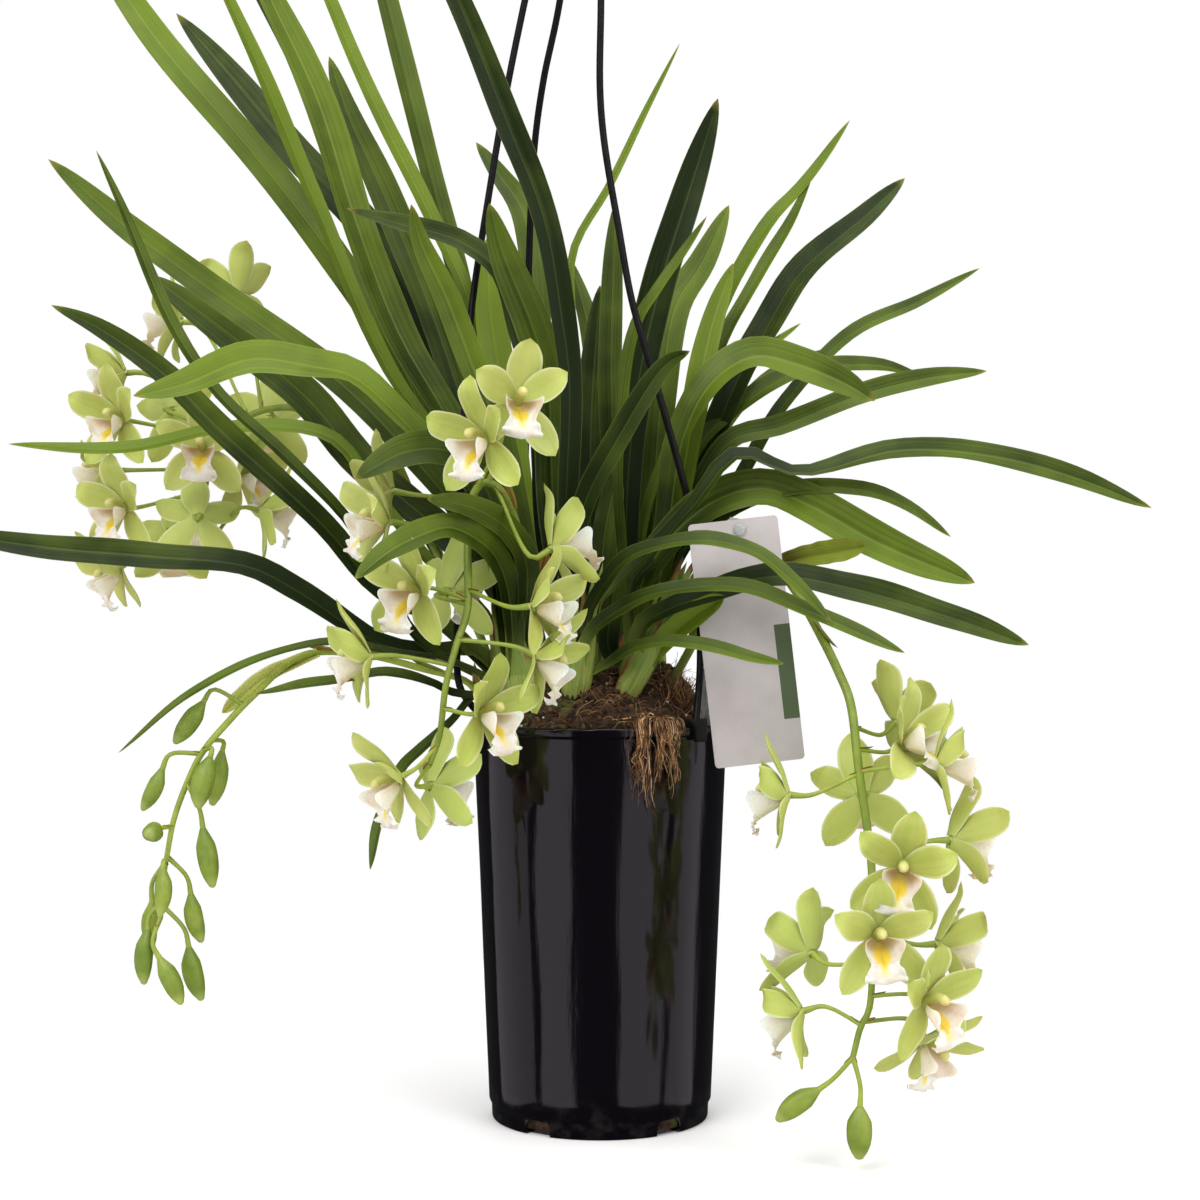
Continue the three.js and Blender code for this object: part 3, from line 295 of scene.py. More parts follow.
# Each slot is cut by a block with a rounded top, drawn here in shares of its size.
arch = [(-0.5, -1), (0.5, -1), (0.5, 0.6), (0.36, 0.92), (-0.36, 0.92), (-0.5, 0.6)]
arch = [(w * SLOT_WIDTH, z * SLOT_HEIGHT) for w, z in arch]
points, faces = [], []
for angle in SLOT_ANGLES:
    a = math.radians(angle)
    out, aside = np.array((math.cos(a), math.sin(a), 0)), np.array((-math.sin(a), math.cos(a), 0))
    block, skin = ring_skin([
        [out * (FOOT - 1 + deep) + aside * w + (0, 0, z) for w, z in arch]
        for deep in (-SLOT_DEPTH / 2, SLOT_DEPTH / 2)
    ])
    faces += [[len(points) + i for i in face] for face in skin]
    points += list(block)
cutter = new_object("slot cutter", body_mesh("slot cutter", points, faces))
cut = pot.modifiers.new("drain slots", "BOOLEAN")
cut.operation, cut.object = "DIFFERENCE", cutter
cut_pot = pot.evaluated_get(bpy.context.evaluated_depsgraph_get())
pot.data = bpy.data.meshes.new_from_object(cut_pot)
pot.modifiers.clear()
bpy.data.objects.remove(cutter)
pot.data.shade_smooth()
pot.data.set_sharp_from_angle(angle=math.radians(40))

plastic = Finish("glossy black sheet", specular=0.45)
streaks = plastic.mottle(0.02, where=plastic.where.stretched((1, 1, 0.06)))
scuffs = plastic.mottle(0.0016, 5, where=plastic.where.stretched((1, 1, 0.18)))
low_down = plastic.where.split()[2].fade(0.03, 0, 0, 0.55)
plastic.colour(low_down * plastic.mottle(0.009).fade(0.45, 0.7), "#2a2726", "#08060a")
plastic.gloss(streaks.fade(0.3, 0.7, 0.06, 0.12) + scuffs.fade(0.5, 0.9, 0, 0.07))
plastic.relief(streaks + scuffs.fade(0.2, 0.8, 0, 0.04), 0.0003)
pot.data.materials.clear()
pot.data.materials.append(plastic.material)
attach(pot, "root")
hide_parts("pot")

# The floor: a round sheet of pale matt board that takes the pot's soft shadow. The pot's wall
# doesn't mirror it.
FLOOR_RADIUS, FLOOR_SIDES = 500, 96
floor_rim = [
    (FLOOR_RADIUS * math.cos(a), FLOOR_RADIUS * math.sin(a), 0)
    for a in np.linspace(0, math.tau, FLOOR_SIDES, endpoint=False)
]
floor = new_object("floor", body_mesh("floor", floor_rim, [range(FLOOR_SIDES)]))
board = Finish("pale floor", rough=0.7)
board.colour(board.mottle(0.4), "#fafaf9", "#f7f7f6")
floor.data.materials.append(board.material)
floor.visible_glossy = False

# The growing mix: peat with bark chips, perlite, moss and fine root fibre, filled in loose and
# mounded round the bulbs. The body is an uneven mound, and the crumbs lie on it as real bits,
# with a small heap of them at the right.
MOUND, EDGE_DROP = 27, 11
HUMP, HUMP_HEIGHT, HUMP_SPREAD = (42, 4), 15, 420
MIX_RINGS, MIX_SIDES = 44, 150
CHIPS, PERLITE, PERLITE_NESTS, FIBRES = 640, 130, 9, 820
HEAP = (43, -22)
HEAP_LUMPS, HEAP_FIBRES = 150, 190
mix_edge = RIM - LIP_OUT - WALL - 1.4
mix_floor = POT_FLOOR + 0.3
rng = np.random.default_rng(11)


def mix_top(x, y):
    """The height of the mix's smooth top at a place."""
    r = math.hypot(x, y) / RIM
    mound = MOUND * (1 - r * r) - EDGE_DROP * r * r
    hump = HUMP_HEIGHT * math.exp(-((x - HUMP[0]) ** 2 + (y - HUMP[1]) ** 2) / HUMP_SPREAD)
    crumb = 0.9 * math.sin(x * 0.31 + 1.7 * math.sin(y * 0.17)) * math.cos(y * 0.27)
    return POT_HEIGHT + mound + hump * (1 - r**4) + crumb * (1 - r * r)


def on_mix(x, y, lift=0):
    """A place on the mix's loose surface, or this far above it."""
    coarse, fine, grit = (
        noise.noise(Vector((x, y, seed)) / size) for seed, size in ((3, 7), (9, 2.6), (5, 1.1))
    )
    loose = 1.9 * coarse + 1.1 * abs(fine) + 0.5 * grit
    return np.array((x, y, mix_top(x, y) + loose + lift))


def inward(x, y, share):
    """A place drawn in to this share of the mix's radius."""
    scale = min(1, share * mix_edge / max(math.hypot(x, y), 1))
    return x * scale, y * scale


def anywhere(lift):
    """A random place on the mix."""
    r, a = mix_edge * 0.97 * math.sqrt(rng.random()), math.tau * rng.random()
    return on_mix(r * math.cos(a), r * math.sin(a), lift)


def near(place, spread, lift):
    """A random place on the mix near another one."""
    x, y = place[0] + rng.normal(0, spread), place[1] + rng.normal(0, spread)
    return on_mix(*inward(x, y, 0.97), lift)


class Surface:
    """Skins gathered for one piece, with the numbers that its finishes read at each point."""

    def __init__(self):
        self.points, self.lay, self.tone = [], [], []
        self.faces, self.finish_of = [], []
        self.count = 0

    def add(self, points, faces, lay=(0, 0, 0), tone=(0, 0, 0), finish=0):
        points = np.asarray(points, float).reshape(-1, 3)
        self.points.append(points)
        self.lay.append(np.broadcast_to(lay, points.shape))
        self.tone.append(np.broadcast_to(tone, points.shape))
        self.faces += [[self.count + i for i in face] for face in faces]
        self.finish_of += [finish] * len(faces)
        self.count += len(points)

    def piece(self, name, finishes, sharp=60):
        """The piece, held inside the solids' box."""
        points = np.clip(np.concatenate(self.points), *np.array(cad_box) / MM)
        mesh = body_mesh(name, points, self.faces, sharp)
        for mark, values in (("lay", self.lay), ("tone", self.tone)):
            carried = mesh.attributes.new(mark, "FLOAT_VECTOR", "POINT")
            carried.data.foreach_set("vector", np.concatenate(values).ravel())
        for finish in finishes:
            mesh.materials.append(finish.material)
        mesh.polygons.foreach_set("material_index", self.finish_of)
        return new_object(name, mesh)


def smooth_line(points, stations):
    """Places, directions and length of the smooth curve through points, at shares of it."""
    given = np.array(points, float)
    ends = [2 * given[0] - given[1], *given, 2 * given[-1] - given[-2]]
    dense = []
    u = np.linspace(0, 1, 24, endpoint=False)[:, None]
    for p0, p1, p2, p3 in zip(ends, ends[1:], ends[2:], ends[3:]):
        d0, d1, d2 = (np.linalg.norm(b - a) ** 0.5 for a, b in ((p0, p1), (p1, p2), (p2, p3)))
        t1 = ((p1 - p0) / d0 - (p2 - p0) / (d0 + d1) + (p2 - p1) / d1) * d1
        t2 = ((p2 - p1) / d1 - (p3 - p1) / (d1 + d2) + (p3 - p2) / d2) * d1
        square, cube = -3 * p1 + 3 * p2 - 2 * t1 - t2, 2 * p1 - 2 * p2 + t1 + t2
        dense.append(p1 + t1 * u + square * u**2 + cube * u**3)
    dense = np.vstack([*dense, given[-1:]])
    gone = np.concatenate([[0], np.cumsum(np.linalg.norm(np.diff(dense, axis=0), axis=1))])
    slopes = np.gradient(dense, gone, axis=0)
    places, ways = (
        np.column_stack([np.interp(np.asarray(stations) * gone[-1], gone, row) for row in rows.T])
        for rows in (dense, slopes)
    )
    return places, ways / np.linalg.norm(ways, axis=1, keepdims=True), gone[-1]


def round_rings(places, ways, radii, sides, ridge=np.ones_like):
    """Rings of points round a line. `ridge` changes the radius round the ring."""
    turns = math.tau * np.arange(sides) / sides
    share = ridge(turns)[:, None]
    out = np.array((0.31, 0.9, 0.3))
    rings = []
    for place, way, radius in zip(places, ways, radii):
        out = out - way * out.dot(way)
        out /= np.linalg.norm(out)
        reach = np.outer(np.cos(turns), out) + np.outer(np.sin(turns), np.cross(way, out))
        rings.append(place + radius * share * reach)
    return np.array(rings)


def add_rod(surface, points, radii, sides=10, rows=14, tone=(0.5, 0, 1), finish=0,
            ridge=np.ones_like, tip=None):
    """A rod along the smooth curve through points, its radii spread evenly along it."""
    stations = np.linspace(0, 1, rows)
    places, ways, length = smooth_line(points, stations)
    at_rows = np.interp(stations, np.linspace(0, 1, len(radii)), radii)
    skin, faces = ring_skin(round_rings(places, ways, at_rows, sides, ridge), None, tip)
    lay = np.full((len(skin), 3), (0, 1, length * MM))
    lay[: rows * sides, 0] = np.tile(np.linspace(-1, 1, sides), rows)
    lay[: rows * sides, 1] = np.repeat(stations, sides)
    surface.add(skin, faces, lay, tone, finish)


def add_fibre(surface, course, radius, taper, rows=7):
    """A fine root fibre in the mix."""
    add_rod(surface, course, (radius, radius * taper), 5, rows, (0, 1, rng.random()))


ball = bmesh.new()
bmesh.ops.create_icosphere(ball, subdivisions=1, radius=1)
BALL_POINTS = np.array([corner.co[:] for corner in ball.verts])
BALL_FACES = [[corner.index for corner in face.verts] for face in ball.faces]
ball.free()


def add_lump(surface, place, size, rough, white=0):
    """A rough bit lying at a place, of a size along each of its own directions."""
    tone = (white, 0, rng.random())
    turn = np.linalg.qr(rng.normal(size=(3, 3)))[0]
    if np.linalg.det(turn) < 0:
        turn[:, 0] *= -1
    own = BALL_POINTS * (1 + rough * rng.normal(size=(len(BALL_POINTS), 1))) * size
    surface.add(own @ turn.T + place, BALL_FACES, tone=tone)


turns = math.tau * np.arange(MIX_SIDES) / MIX_SIDES
rings = [
    [(radius * math.cos(a), radius * math.sin(a), height) for a in turns]
    for radius, height in ((FOOT - WALL - 0.3, mix_floor), (SHOULDER - WALL - 1, mix_floor + 8))
]
for radius in mix_edge * (1 - np.arange(MIX_RINGS) / MIX_RINGS):
    rings.append([on_mix(radius * math.cos(a), radius * math.sin(a)) for a in turns])
mix = Surface()
mix.add(*ring_skin(rings, (0, 0, mix_floor), on_mix(0, 0)))

nests = [anywhere(0) for _ in range(PERLITE_NESTS)]
for _ in range(CHIPS):
    length = rng.uniform(0.7, 3.3)
    size = length * np.array((1, rng.uniform(0.35, 0.7), rng.uniform(0.2, 0.4)))
    add_lump(mix, anywhere(0.2), size, 0.16)
for _ in range(PERLITE):
    nest = nests[rng.integers(len(nests))] if rng.random() < 0.6 else None
    place = anywhere(0.3) if nest is None else near(nest, 3.2, 0.3)
    add_lump(mix, place, rng.uniform(0.3, 1.1), 0.2, white=1)
for _ in range(FIBRES):
    start = anywhere(-0.6)
    rise = 0.5 if start[0] > 12 else 0
    way = np.array((rng.normal(), rng.normal(), 0.3 * rng.normal() + rise))
    way *= rng.uniform(5, 15) / np.linalg.norm(way)
    middle = start + way * 0.5 + rng.normal(0, 1.6, 3) + (0, 0, 1.8)
    course = [(*inward(x, y, 0.98), z) for x, y, z in (start, middle, start + way)]
    add_fibre(mix, course, rng.uniform(0.07, 0.23), 0.6)
for _ in range(HEAP_LUMPS):
    length = rng.uniform(0.9, 2.6)
    place = near(HEAP, 4.2, 0)
    out = math.hypot(place[0] - HEAP[0], place[1] - HEAP[1])
    place[2] += rng.uniform(0, 9) * math.exp(-((out / 6) ** 2))
    add_lump(mix, place, length * np.array((1, 0.5, 0.35)), 0.2)
for _ in range(HEAP_FIBRES):
    start = near(HEAP, 4.5, -0.5)
    way = np.array((rng.normal(0, 4.5), rng.normal(0, 4), rng.uniform(3, 17)))
    middle = start + way * 0.5 + rng.normal(0, 1.8, 3)
    add_fibre(mix, (start, middle, start + way), rng.uniform(0.08, 0.24), 0.5, 8)

peat = Finish("peat and bark", rough=0.95, specular=0.25)
perlite_share, fibre_share, shade = peat.carried("tone").split()
peat.colour(peat.mottle(0.004, 6).fade(0.3, 0.72), "#4c3724", "#140d08")
peat.colour(shade.fade(0, 0.05), peat.blend(shade, "#1c130c", "#6a4c33"))
peat.colour(peat.mottle(0.017, 4).fade(0.56, 0.68) * 0.55, "#55592a")
peat.colour(perlite_share, peat.blend(shade, "#a9a295", "#d9d4c8"))
peat.colour(fibre_share, peat.blend(shade, "#3a2616", "#b48c5e"))
peat.relief(peat.mottle(0.0016, 6, 0.7), 0.0008)
mix_piece = mix.piece("growing_mix_crumbs", [peat], sharp=180)
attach(mix_piece, "root")
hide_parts("growing_mix")

# The growths: swollen bulbs clothed in thin scales, each with a fan of leaves. A leaf is a long
# keeled strap with a sunk midrib and fine parallel veins, dark and satin above, greyer below and
# yellow at the tip. A bulb stands a little sunk in the mix, which its roots hold.

# A growth's numbers are its place in the mix, its lean and its girth. A leaf's are its width,
# its turns from the eye along it, how far its tip stands in front, its shade from dark to pale,
# and its course in the front view. The shade is partly the leaf's own tone and partly painted
# light and shade: leaves deep in the fan are painted darker, and lit and backlit ones paler.
GROWTHS = {
    "growth_left_front": ((-42, 23), (-5, 2), 11, {
        "arch": (21, (50, 62, 5), 123, 0.62, [478, 494, 445, 460, 410, 420, 355, 372, 311, 362,
            250, 356, 180, 384, 133, 396]),
        "shade": (20, (40, 10), 92, 0.3, [500, 520, 470, 460, 440, 447, 400, 452, 355, 479]),
        "drop": (16, (45, 25), 128, 0.45, [512, 600, 500, 560, 482, 540, 450, 525, 415, 535,
            385, 552, 355, 579]),
        "hook": (14, (35, 15), 92, 0.4, [527, 620, 527, 560, 512, 532, 489, 514, 463, 504,
            427, 499]),
        "low": (7.5, (60, 55), 77, 0.4, [460, 664, 388, 650, 330, 641, 266, 655, 189, 693,
            118, 753]),
        "ground": (8, (60, 50), 91, 0.4, [457, 693, 432, 682, 388, 671, 355, 676, 300, 684,
            255, 694]),
        "dip": (8.5, (60, 40), 80, 0.45, [478, 692, 450, 722, 418, 750, 400, 770, 378, 822,
            370, 870]),
    }),
    "growth_left_back": ((-46, -8), (-6, -2), 11, {
        "sweep": (16, (55, 15), 18, 0.2, [478, 650, 430, 650, 378, 640, 300, 590, 250, 565,
            153, 555, 51, 547, -60, 532]),
        "blade_a": (9, (50, 45), 54, 0.35, [420, 640, 388, 588, 347, 519, 286, 455, 222, 396,
            173, 324, 128, 219, 96, 150]),
        "blade_b": (15, (40, 20), 30, 0.3, [440, 620, 383, 590, 329, 529, 281, 483, 219, 427,
            165, 373, 95, 325, 51, 305]),
        "blade_c": (18, (40, 15), -8, 0.45, [490, 560, 400, 440, 340, 380, 293, 345, 204, 283,
            128, 227, 66, 174, 48, 159]),
        "blade_d": (21, (30, 5), -52, 0.4, [500, 590, 430, 520, 362, 463, 310, 400, 235, 338,
            176, 294, 150, 275]),
        "pale": (10, (50, 35), -25, 0.75, [490, 620, 430, 560, 380, 500, 332, 436, 224, 427,
            128, 447, 8, 444]),
    }),
    "growth_back_left": ((-30, -38), (-8, -4), 11, {
        "tall_a": (20, (30, 10), -180, 0.7, [490, 560, 400, 360, 330, 250, 255, 153, 158, 40,
            110, -30, 75, -90]),
        "tall_b": (21, (30, 10), -122, 0.2, [500, 550, 440, 350, 370, 230, 296, 153, 235, 80,
            176, 13]),
        "tall_c": (12, (50, 40), -44, 0.8, [505, 550, 440, 440, 390, 370, 321, 212, 270, 89,
            230, 0, 195, -70]),
        "tall_d": (9, (50, 45), -154, 0.2, [510, 550, 430, 370, 347, 187, 309, 97, 261, 0,
            225, -60]),
        "short": (19, (30, 10), -67, 0.35, [505, 540, 440, 330, 386, 195, 347, 110, 329, 56]),
    }),
    "growth_back_mid": ((-6, -44), (-4, -5), 11, {
        "tall_f": (11, (40, 30), -76, 0.7, [525, 540, 470, 300, 430, 212, 388, 128, 352, 51,
            318, -30, 290, -90]),
        "tall_g": (14, (30, 20), -104, 0.45, [530, 540, 480, 360, 452, 250, 418, 120, 388, 0,
            362, -90, 335, -160]),
        "backlit": (19, (25, 0), -47, 0.8, [530, 560, 508, 420, 490, 310, 488, 236]),
        "tuft": (17, (30, 10), -131, 0.35, [552, 560, 540, 360, 525, 215, 500, 175, 476, 142]),
        "fill": (16, (25, 15), -62, 0.22, [589, 540, 590, 410, 600, 285]),
        "slim": (14, (20, 10), -55, 0.35, [612, 560, 610, 360, 615, 203]),
        "nook": (14, (30, 20), -105, 0.35, [604, 560, 600, 420, 590, 330, 570, 258]),
        "thread": (5, (30, 10), -90, 0.75, [568, 500, 572, 330, 573, 252, 609, 186, 645, 112,
            680, 43]),
    }),
    "growth_front_mid": ((-14, 8), (-2, 2), 11, {
        "tall_e": (20, (35, 25), -21, 0.5, [520, 540, 440, 400, 400, 330, 357, 217, 319, 97,
            273, 0, 235, -80]),
        "sword": (15, (35, 10), 92, 0.08, [568, 520, 571, 378, 563, 314, 547, 223, 507, 117,
            459, 0, 430, -60, 395, -120]),
        "point": (20, (20, 0), 46, 0.4, [555, 520, 548, 380, 533, 326, 502, 250, 489, 203]),
        "spear": (13, (25, 5), 66, 0.2, [570, 560, 585, 500, 622, 430, 665, 365, 690, 351]),
        "spotted": (15, (30, 10), 63, 0.5, [530, 560, 500, 430, 478, 378, 448, 300, 420, 240,
            411, 204]),
        "bow": (15, (40, 30), 5, 0.2, [545, 540, 540, 400, 520, 330, 500, 270, 461, 239, 400, 222,
            346, 208]),
    }),
    "growth_back_right": ((22, -38), (6, -6), 11, {
        "dark": (20, (25, 10), -26, 0.08, [625, 560, 634, 400, 659, 283, 684, 203, 709, 127,
            718, 98]),
        "fold_low": (8, (45, 30), -62, 0.75, [640, 540, 672, 440, 712, 386, 760, 352, 801, 323]),
        "broad": (19, (20, 5), -102, 0.55, [650, 540, 660, 400, 675, 306, 702, 262, 729, 205]),
        "folded": (11, (45, 40), -73, 0.65, [665, 540, 690, 420, 712, 330, 765, 225, 800, 187,
            850, 120]),
    }),
    "growth_right_mid": ((12, -9), (20, -1), 11, {
        "lap": (15, (20, 10), -20, 0.25, [609, 625, 604, 550, 618, 470]),
        "over": (9, (50, 40), -7, 0.5, [618, 470, 635, 325, 657, 288, 680, 256, 707, 216]),
        "pale": (15, (20, 10), -27, 0.7, [668, 540, 690, 430, 710, 330, 733, 263]),
        "rise": (10, (50, 40), -68, 0.45, [660, 520, 714, 357, 743, 300, 790, 220, 812, 176]),
        "dark_rise": (18, (40, 15), -108, 0.2, [676, 530, 735, 380, 763, 330, 800, 270, 868, 212,
            905, 178]),
        "far_rise": (10, (40, 30), -140, 0.4, [690, 540, 735, 484, 784, 402, 850, 333, 919, 300,
            980, 268]),
        "arch": (23, (30, 58, 5), -6, 0.5, [660, 560, 680, 430, 712, 375, 755, 352, 800, 362,
            845, 382, 875, 401]),
        "wave": (14, (55, 15), -39, 0.45, [680, 530, 728, 440, 780, 425, 855, 395, 932, 376,
            987, 371]),
        "tip_up": (9, (40, 30), -118, 0.7, [682, 540, 722, 430, 775, 372, 838, 347]),
        "hang": (12, (40, 30), -88, 0.4, [670, 520, 700, 440, 790, 372, 830, 364, 880, 364,
            925, 377]),
    }),
    "growth_right_front": ((15, 14), (15, 2), 8, {
        "bright": (22, (30, 10), 45, 0.55, [640, 580, 702, 506, 760, 486, 810, 503, 880, 542,
            975, 583]),
        "under": (10, (40, 30), 42, 0.4, [632, 585, 700, 530, 770, 492, 855, 487, 906, 504,
            951, 537]),
        "stub": (13, (20, 10), 22, 0.3, [611, 652, 612, 610, 620, 570]),
    }),
    "growth_front_low": ((-14, 31), (6, 2), 7, {
        "long": (15, (55, 60, 10), 46, 0.35, [592, 606, 622, 574, 655, 544, 690, 505, 738, 452,
            800, 470, 900, 447, 1000, 455, 1080, 478, 1152, 508]),
        "strap": (11, (30, 50, 35), 112, 0.45, [590, 632, 624, 605, 658, 591, 735, 584, 794, 603,
            860, 632, 905, 653]),
        "curve": (11, (30, 50, 40), 101, 0.4, [588, 612, 600, 588, 624, 558, 660, 543, 710, 538,
            755, 550, 794, 580, 832, 622]),
        "short": (8, (40, 30), 88, 0.5, [612, 660, 630, 648, 658, 641, 700, 643, 750, 656,
            784, 664]),
    }),
    "growth_right_low": ((12, 31), (20, 0), 7, {
        "low": (16, (45, 20), 92, 0.25, [641, 624, 667, 607, 709, 592, 745, 579, 783, 574,
            855, 587, 957, 618, 1029, 645]),
        "shoot": (13, (20, 10), 60, 0.95, [664, 640, 692, 616, 724, 596]),
    }),
}
BULB_HEIGHT, BULB_TOP = 38, 31
LEAF_SEAT = 2
LEAF_ROWS, LEAF_COLUMNS = 40, 11
LEAF_THICK, LEAF_GROOVE = 0.8, 0.22
LEAF_KEEL, SHOOT_KEEL = 0.17, 0.4
LEAF_STATIONS = (0, 0.16, 0.34, 0.52, 0.68, 0.8, 0.88, 0.94, 0.98, 1)
LEAF_WIDTHS = (0.6, 0.76, 0.9, 0.98, 1, 0.93, 0.79, 0.56, 0.28, 0.02)
SCALES = 8
SCALE_ROWS, SCALE_COLUMNS = 12, 9
SCALE_TURN = 137.5


def spot(px, py, front):
    """A point of the front view that stands this far before the pot's axis."""
    reach = (EYE_DISTANCE - front) / FOCAL
    middle = FRAME_SIZE / 2
    return np.array(((px - middle) * reach, -front, EYE_HEIGHT - (py - middle) * reach))


def unit(ways):
    """Ways made one long."""
    return ways / np.linalg.norm(ways, axis=-1, keepdims=True)


def turned_ways(ways, turns, hand):
    """Across a blade and out of its upper side, from how far it turns away from the eye."""
    level = unit(np.cross((0, 1, 0), ways))
    angles = hand * np.radians(turns)[:, None]
    across = level * np.cos(angles) + np.cross(level, ways) * np.sin(angles)
    return across, unit(np.cross(across, ways))


def thin_body(surface, sheet, thick, stations, length, tone, finish=0, groove=0):
    """A thin closed body from a sheet of points, rows by columns, that ends in a point. Its
    edges are sharp. A groove sinks the middle of its upper side and stands out below."""
    rows, columns = sheet.shape[:2]
    out = np.cross(np.gradient(sheet, axis=1), np.gradient(sheet, axis=0))
    out /= np.maximum(np.linalg.norm(out, axis=2, keepdims=True), 1e-12)
    over = np.linspace(-1, 1, columns)
    swell = np.sqrt(1 - over**4)[None, :, None] * np.reshape(thick, (-1, 1, 1)) / 2
    middle = np.exp(-((over / 0.12) ** 2))[None, :, None] * groove
    top, under = sheet + out * (swell - middle), sheet - out * (swell + middle)
    rings = np.concatenate([top, under[:, -2:0:-1]], axis=1)[:-1]
    sides = rings.shape[1]
    points, faces = [*rings.reshape(-1, 3), sheet[-1].mean(axis=0)], quad_rows(rows - 1, sides)
    for j in range(columns - 1):
        ring = dict.fromkeys([j, j + 1, (sides - j - 1) % sides, (sides - j) % sides])
        faces.append(list(ring)[::-1])
    last = (rows - 2) * sides
    faces += [(last + k, last + (k + 1) % sides, len(points) - 1) for k in range(sides)]
    lay = np.full((len(points), 3), (0, 1, length * MM))
    tones = np.full((len(points), 3), (*tone, 0.0))
    lay[:-1, 0] = np.tile([*over, *over[-2:0:-1]], rows - 1)
    lay[:-1, 1] = np.repeat(stations[:-1], sides)
    tones[:-1, 2] = np.tile([0, *np.ones(columns - 2), 0, *-np.ones(columns - 2)], rows - 1)
    surface.add(points, faces, lay, tones, finish)


def smooth_share(stations, values, at):
    """Values at shares of the way, on the smooth curve through given ones."""
    line = np.column_stack([stations, values, np.zeros(len(values))])
    places = smooth_line(line, np.linspace(0, 1, 160))[0]
    return np.interp(at, places[:, 0], places[:, 1])


def add_leaf(surface, width, turn, shade, points, keel=LEAF_KEEL, thick=LEAF_THICK, dry=0,
             finish=0):
    """A leaf along points, its root first."""
    stations = 1 - (1 - np.linspace(0, 1, LEAF_ROWS)) ** 1.25
    places, ways, length = smooth_line(points, stations)
    hand = -1 if points[-1][0] < points[0][0] else 1
    turns = np.interp(stations, np.linspace(0, 1, len(turn)), turn)
    across, facing = turned_ways(ways, turns, hand)
    widths = smooth_share(LEAF_STATIONS, LEAF_WIDTHS, stations)[:, None] * width
    over = np.linspace(-1, 1, LEAF_COLUMNS)[None]
    fold = keel * (1 + 0.9 * np.clip(1 - stations / 0.3, 0, 1) ** 1.5)
    phase, beat = rng.uniform(0, 6.28, 2), rng.uniform(2.5, 4.5)
    drift = 0.03 * np.sin(beat * 6.28 * stations + phase[0])
    ruffle = 0.035 * np.sin(beat * 9.1 * stations + phase[1])
    depth = drift[:, None] * over + ruffle[:, None] * np.abs(over) ** 3
    depth -= fold[:, None] * (1 - np.abs(over) ** 1.25)
    sheet = places[:, None] + across[:, None] * (widths * over / 2)[..., None]
    sheet += facing[:, None] * (widths * depth)[..., None]
    swell = thick + 0.5 * np.clip(1 - stations / 0.2, 0, 1)
    swell *= np.clip((1 - stations) / 0.05, 0.35, 1)
    thin_body(surface, sheet, swell, stations, length, (shade, dry), finish, LEAF_GROOVE)


def add_scale(surface, foot, lean, girth, angle, height, span, shade, dry):
    """A sheath that wraps a bulb: a long curved scale whose point stands off."""
    stations = np.linspace(0, 1, SCALE_ROWS)
    over = np.linspace(-1, 1, SCALE_COLUMNS)[None]
    half = smooth_share((0, 0.3, 0.6, 0.85, 1), (1, 0.92, 0.7, 0.4, 0.03), stations)[:, None]
    rise = stations * height / BULB_HEIGHT
    swell = girth * np.interp(rise, (0, 0.27, 0.68, 1, 1.6), (0.7, 1, 0.9, 0.6, 0.45))
    swell = (swell + rng.uniform(0.1, 1.0) + 2.2 * stations**3)[:, None]
    turns = math.radians(angle) + over * half * np.radians(span)
    stations, rise = stations[:, None], rise[:, None]
    sheet = np.stack([
        foot[0] + lean[0] * rise - swell * np.cos(turns),
        foot[1] - lean[1] * rise + swell * np.sin(turns),
        foot[2] + stations * height - 2.2 * over**2 * stations,
    ], axis=2)
    thin_body(surface, sheet, 0.7, stations[:, 0], height, (shade, dry), finish=1)


blade = Finish("leaf", specular=0.2)
over, along, _ = blade.carried("lay").split()
shade, dry, side = blade.carried("tone").split()
veins, cloud = blade.strokes((15, 0.4, 30), 1), blade.mottle(0.035, 2)
# The leaf's lightness is its shade value with mottle and veins. Painted shade then darkens each
# leaf towards its base, deep in the fan, and makes one half of the keeled blade darker and the
# other lighter, as light falls on the fold.
light = shade + cloud.fade(0.3, 0.7, -0.08, 0.08) + veins.fade(0.35, 0.65, -0.05, 0.05)
light = light + along.fade(0.15, 0.75, -0.26, 0.07) + over.fade(-0.05, 0.05, -0.05, 0.05)
blade.colour(light.fade(0.06, 1), "#6c8221", "#182606")
blade.colour(side.fade(0, -0.6, 0, 0.5), "#58742c")
rib = abs(over).fade(0.07, 0.02, 0, 0.34) * shade.fade(0.1, 0.8, 0.3, 1)
blade.colour(rib, "#7f9839")
blade.colour(abs(over).fade(0.94, 1, 0, 0.35), "#87963f")
blade.colour((along + cloud.fade(0.3, 0.7, -0.03, 0.03)).fade(0.2, 0, 0, 0.75), "#7d903a")
blade.colour(along.fade(0.975, 1, 0, 0.6), "#94893a")
streak = blade.strokes((9, 1.2, 40), 2)
blade.colour(dry, blade.blend(streak.fade(0.4, 0.65), "#7d4a22", "#b98746"))
blade.gloss(veins.fade(0.3, 0.7, 0.36, 0.48))
blade.relief(veins, 0.0002)

sheath = Finish("leaf sheath", specular=0.3, rough=0.55)
over, along, _ = sheath.carried("lay").split()
shade, dry, _ = sheath.carried("tone").split()
lines = sheath.strokes((11, 1, 50), 3)
sheath.colour((lines * shade).fade(0.15, 0.65), "#93a24b", "#4f6822")
sheath.colour(along.fade(0.1, 0.75, 0, 0.55), "#66802e")
sheath.colour(abs(over).fade(0.8, 1, 0, 0.6), "#9c9552")
worn = dry + along.fade(0.45, 1, 0, 0.5) + sheath.mottle(0.012).fade(0.35, 0.65, -0.35, 0.25)
sheath.colour(worn.fade(0.4, 0.8), "#85532f")
sheath.relief(lines, 0.0003)

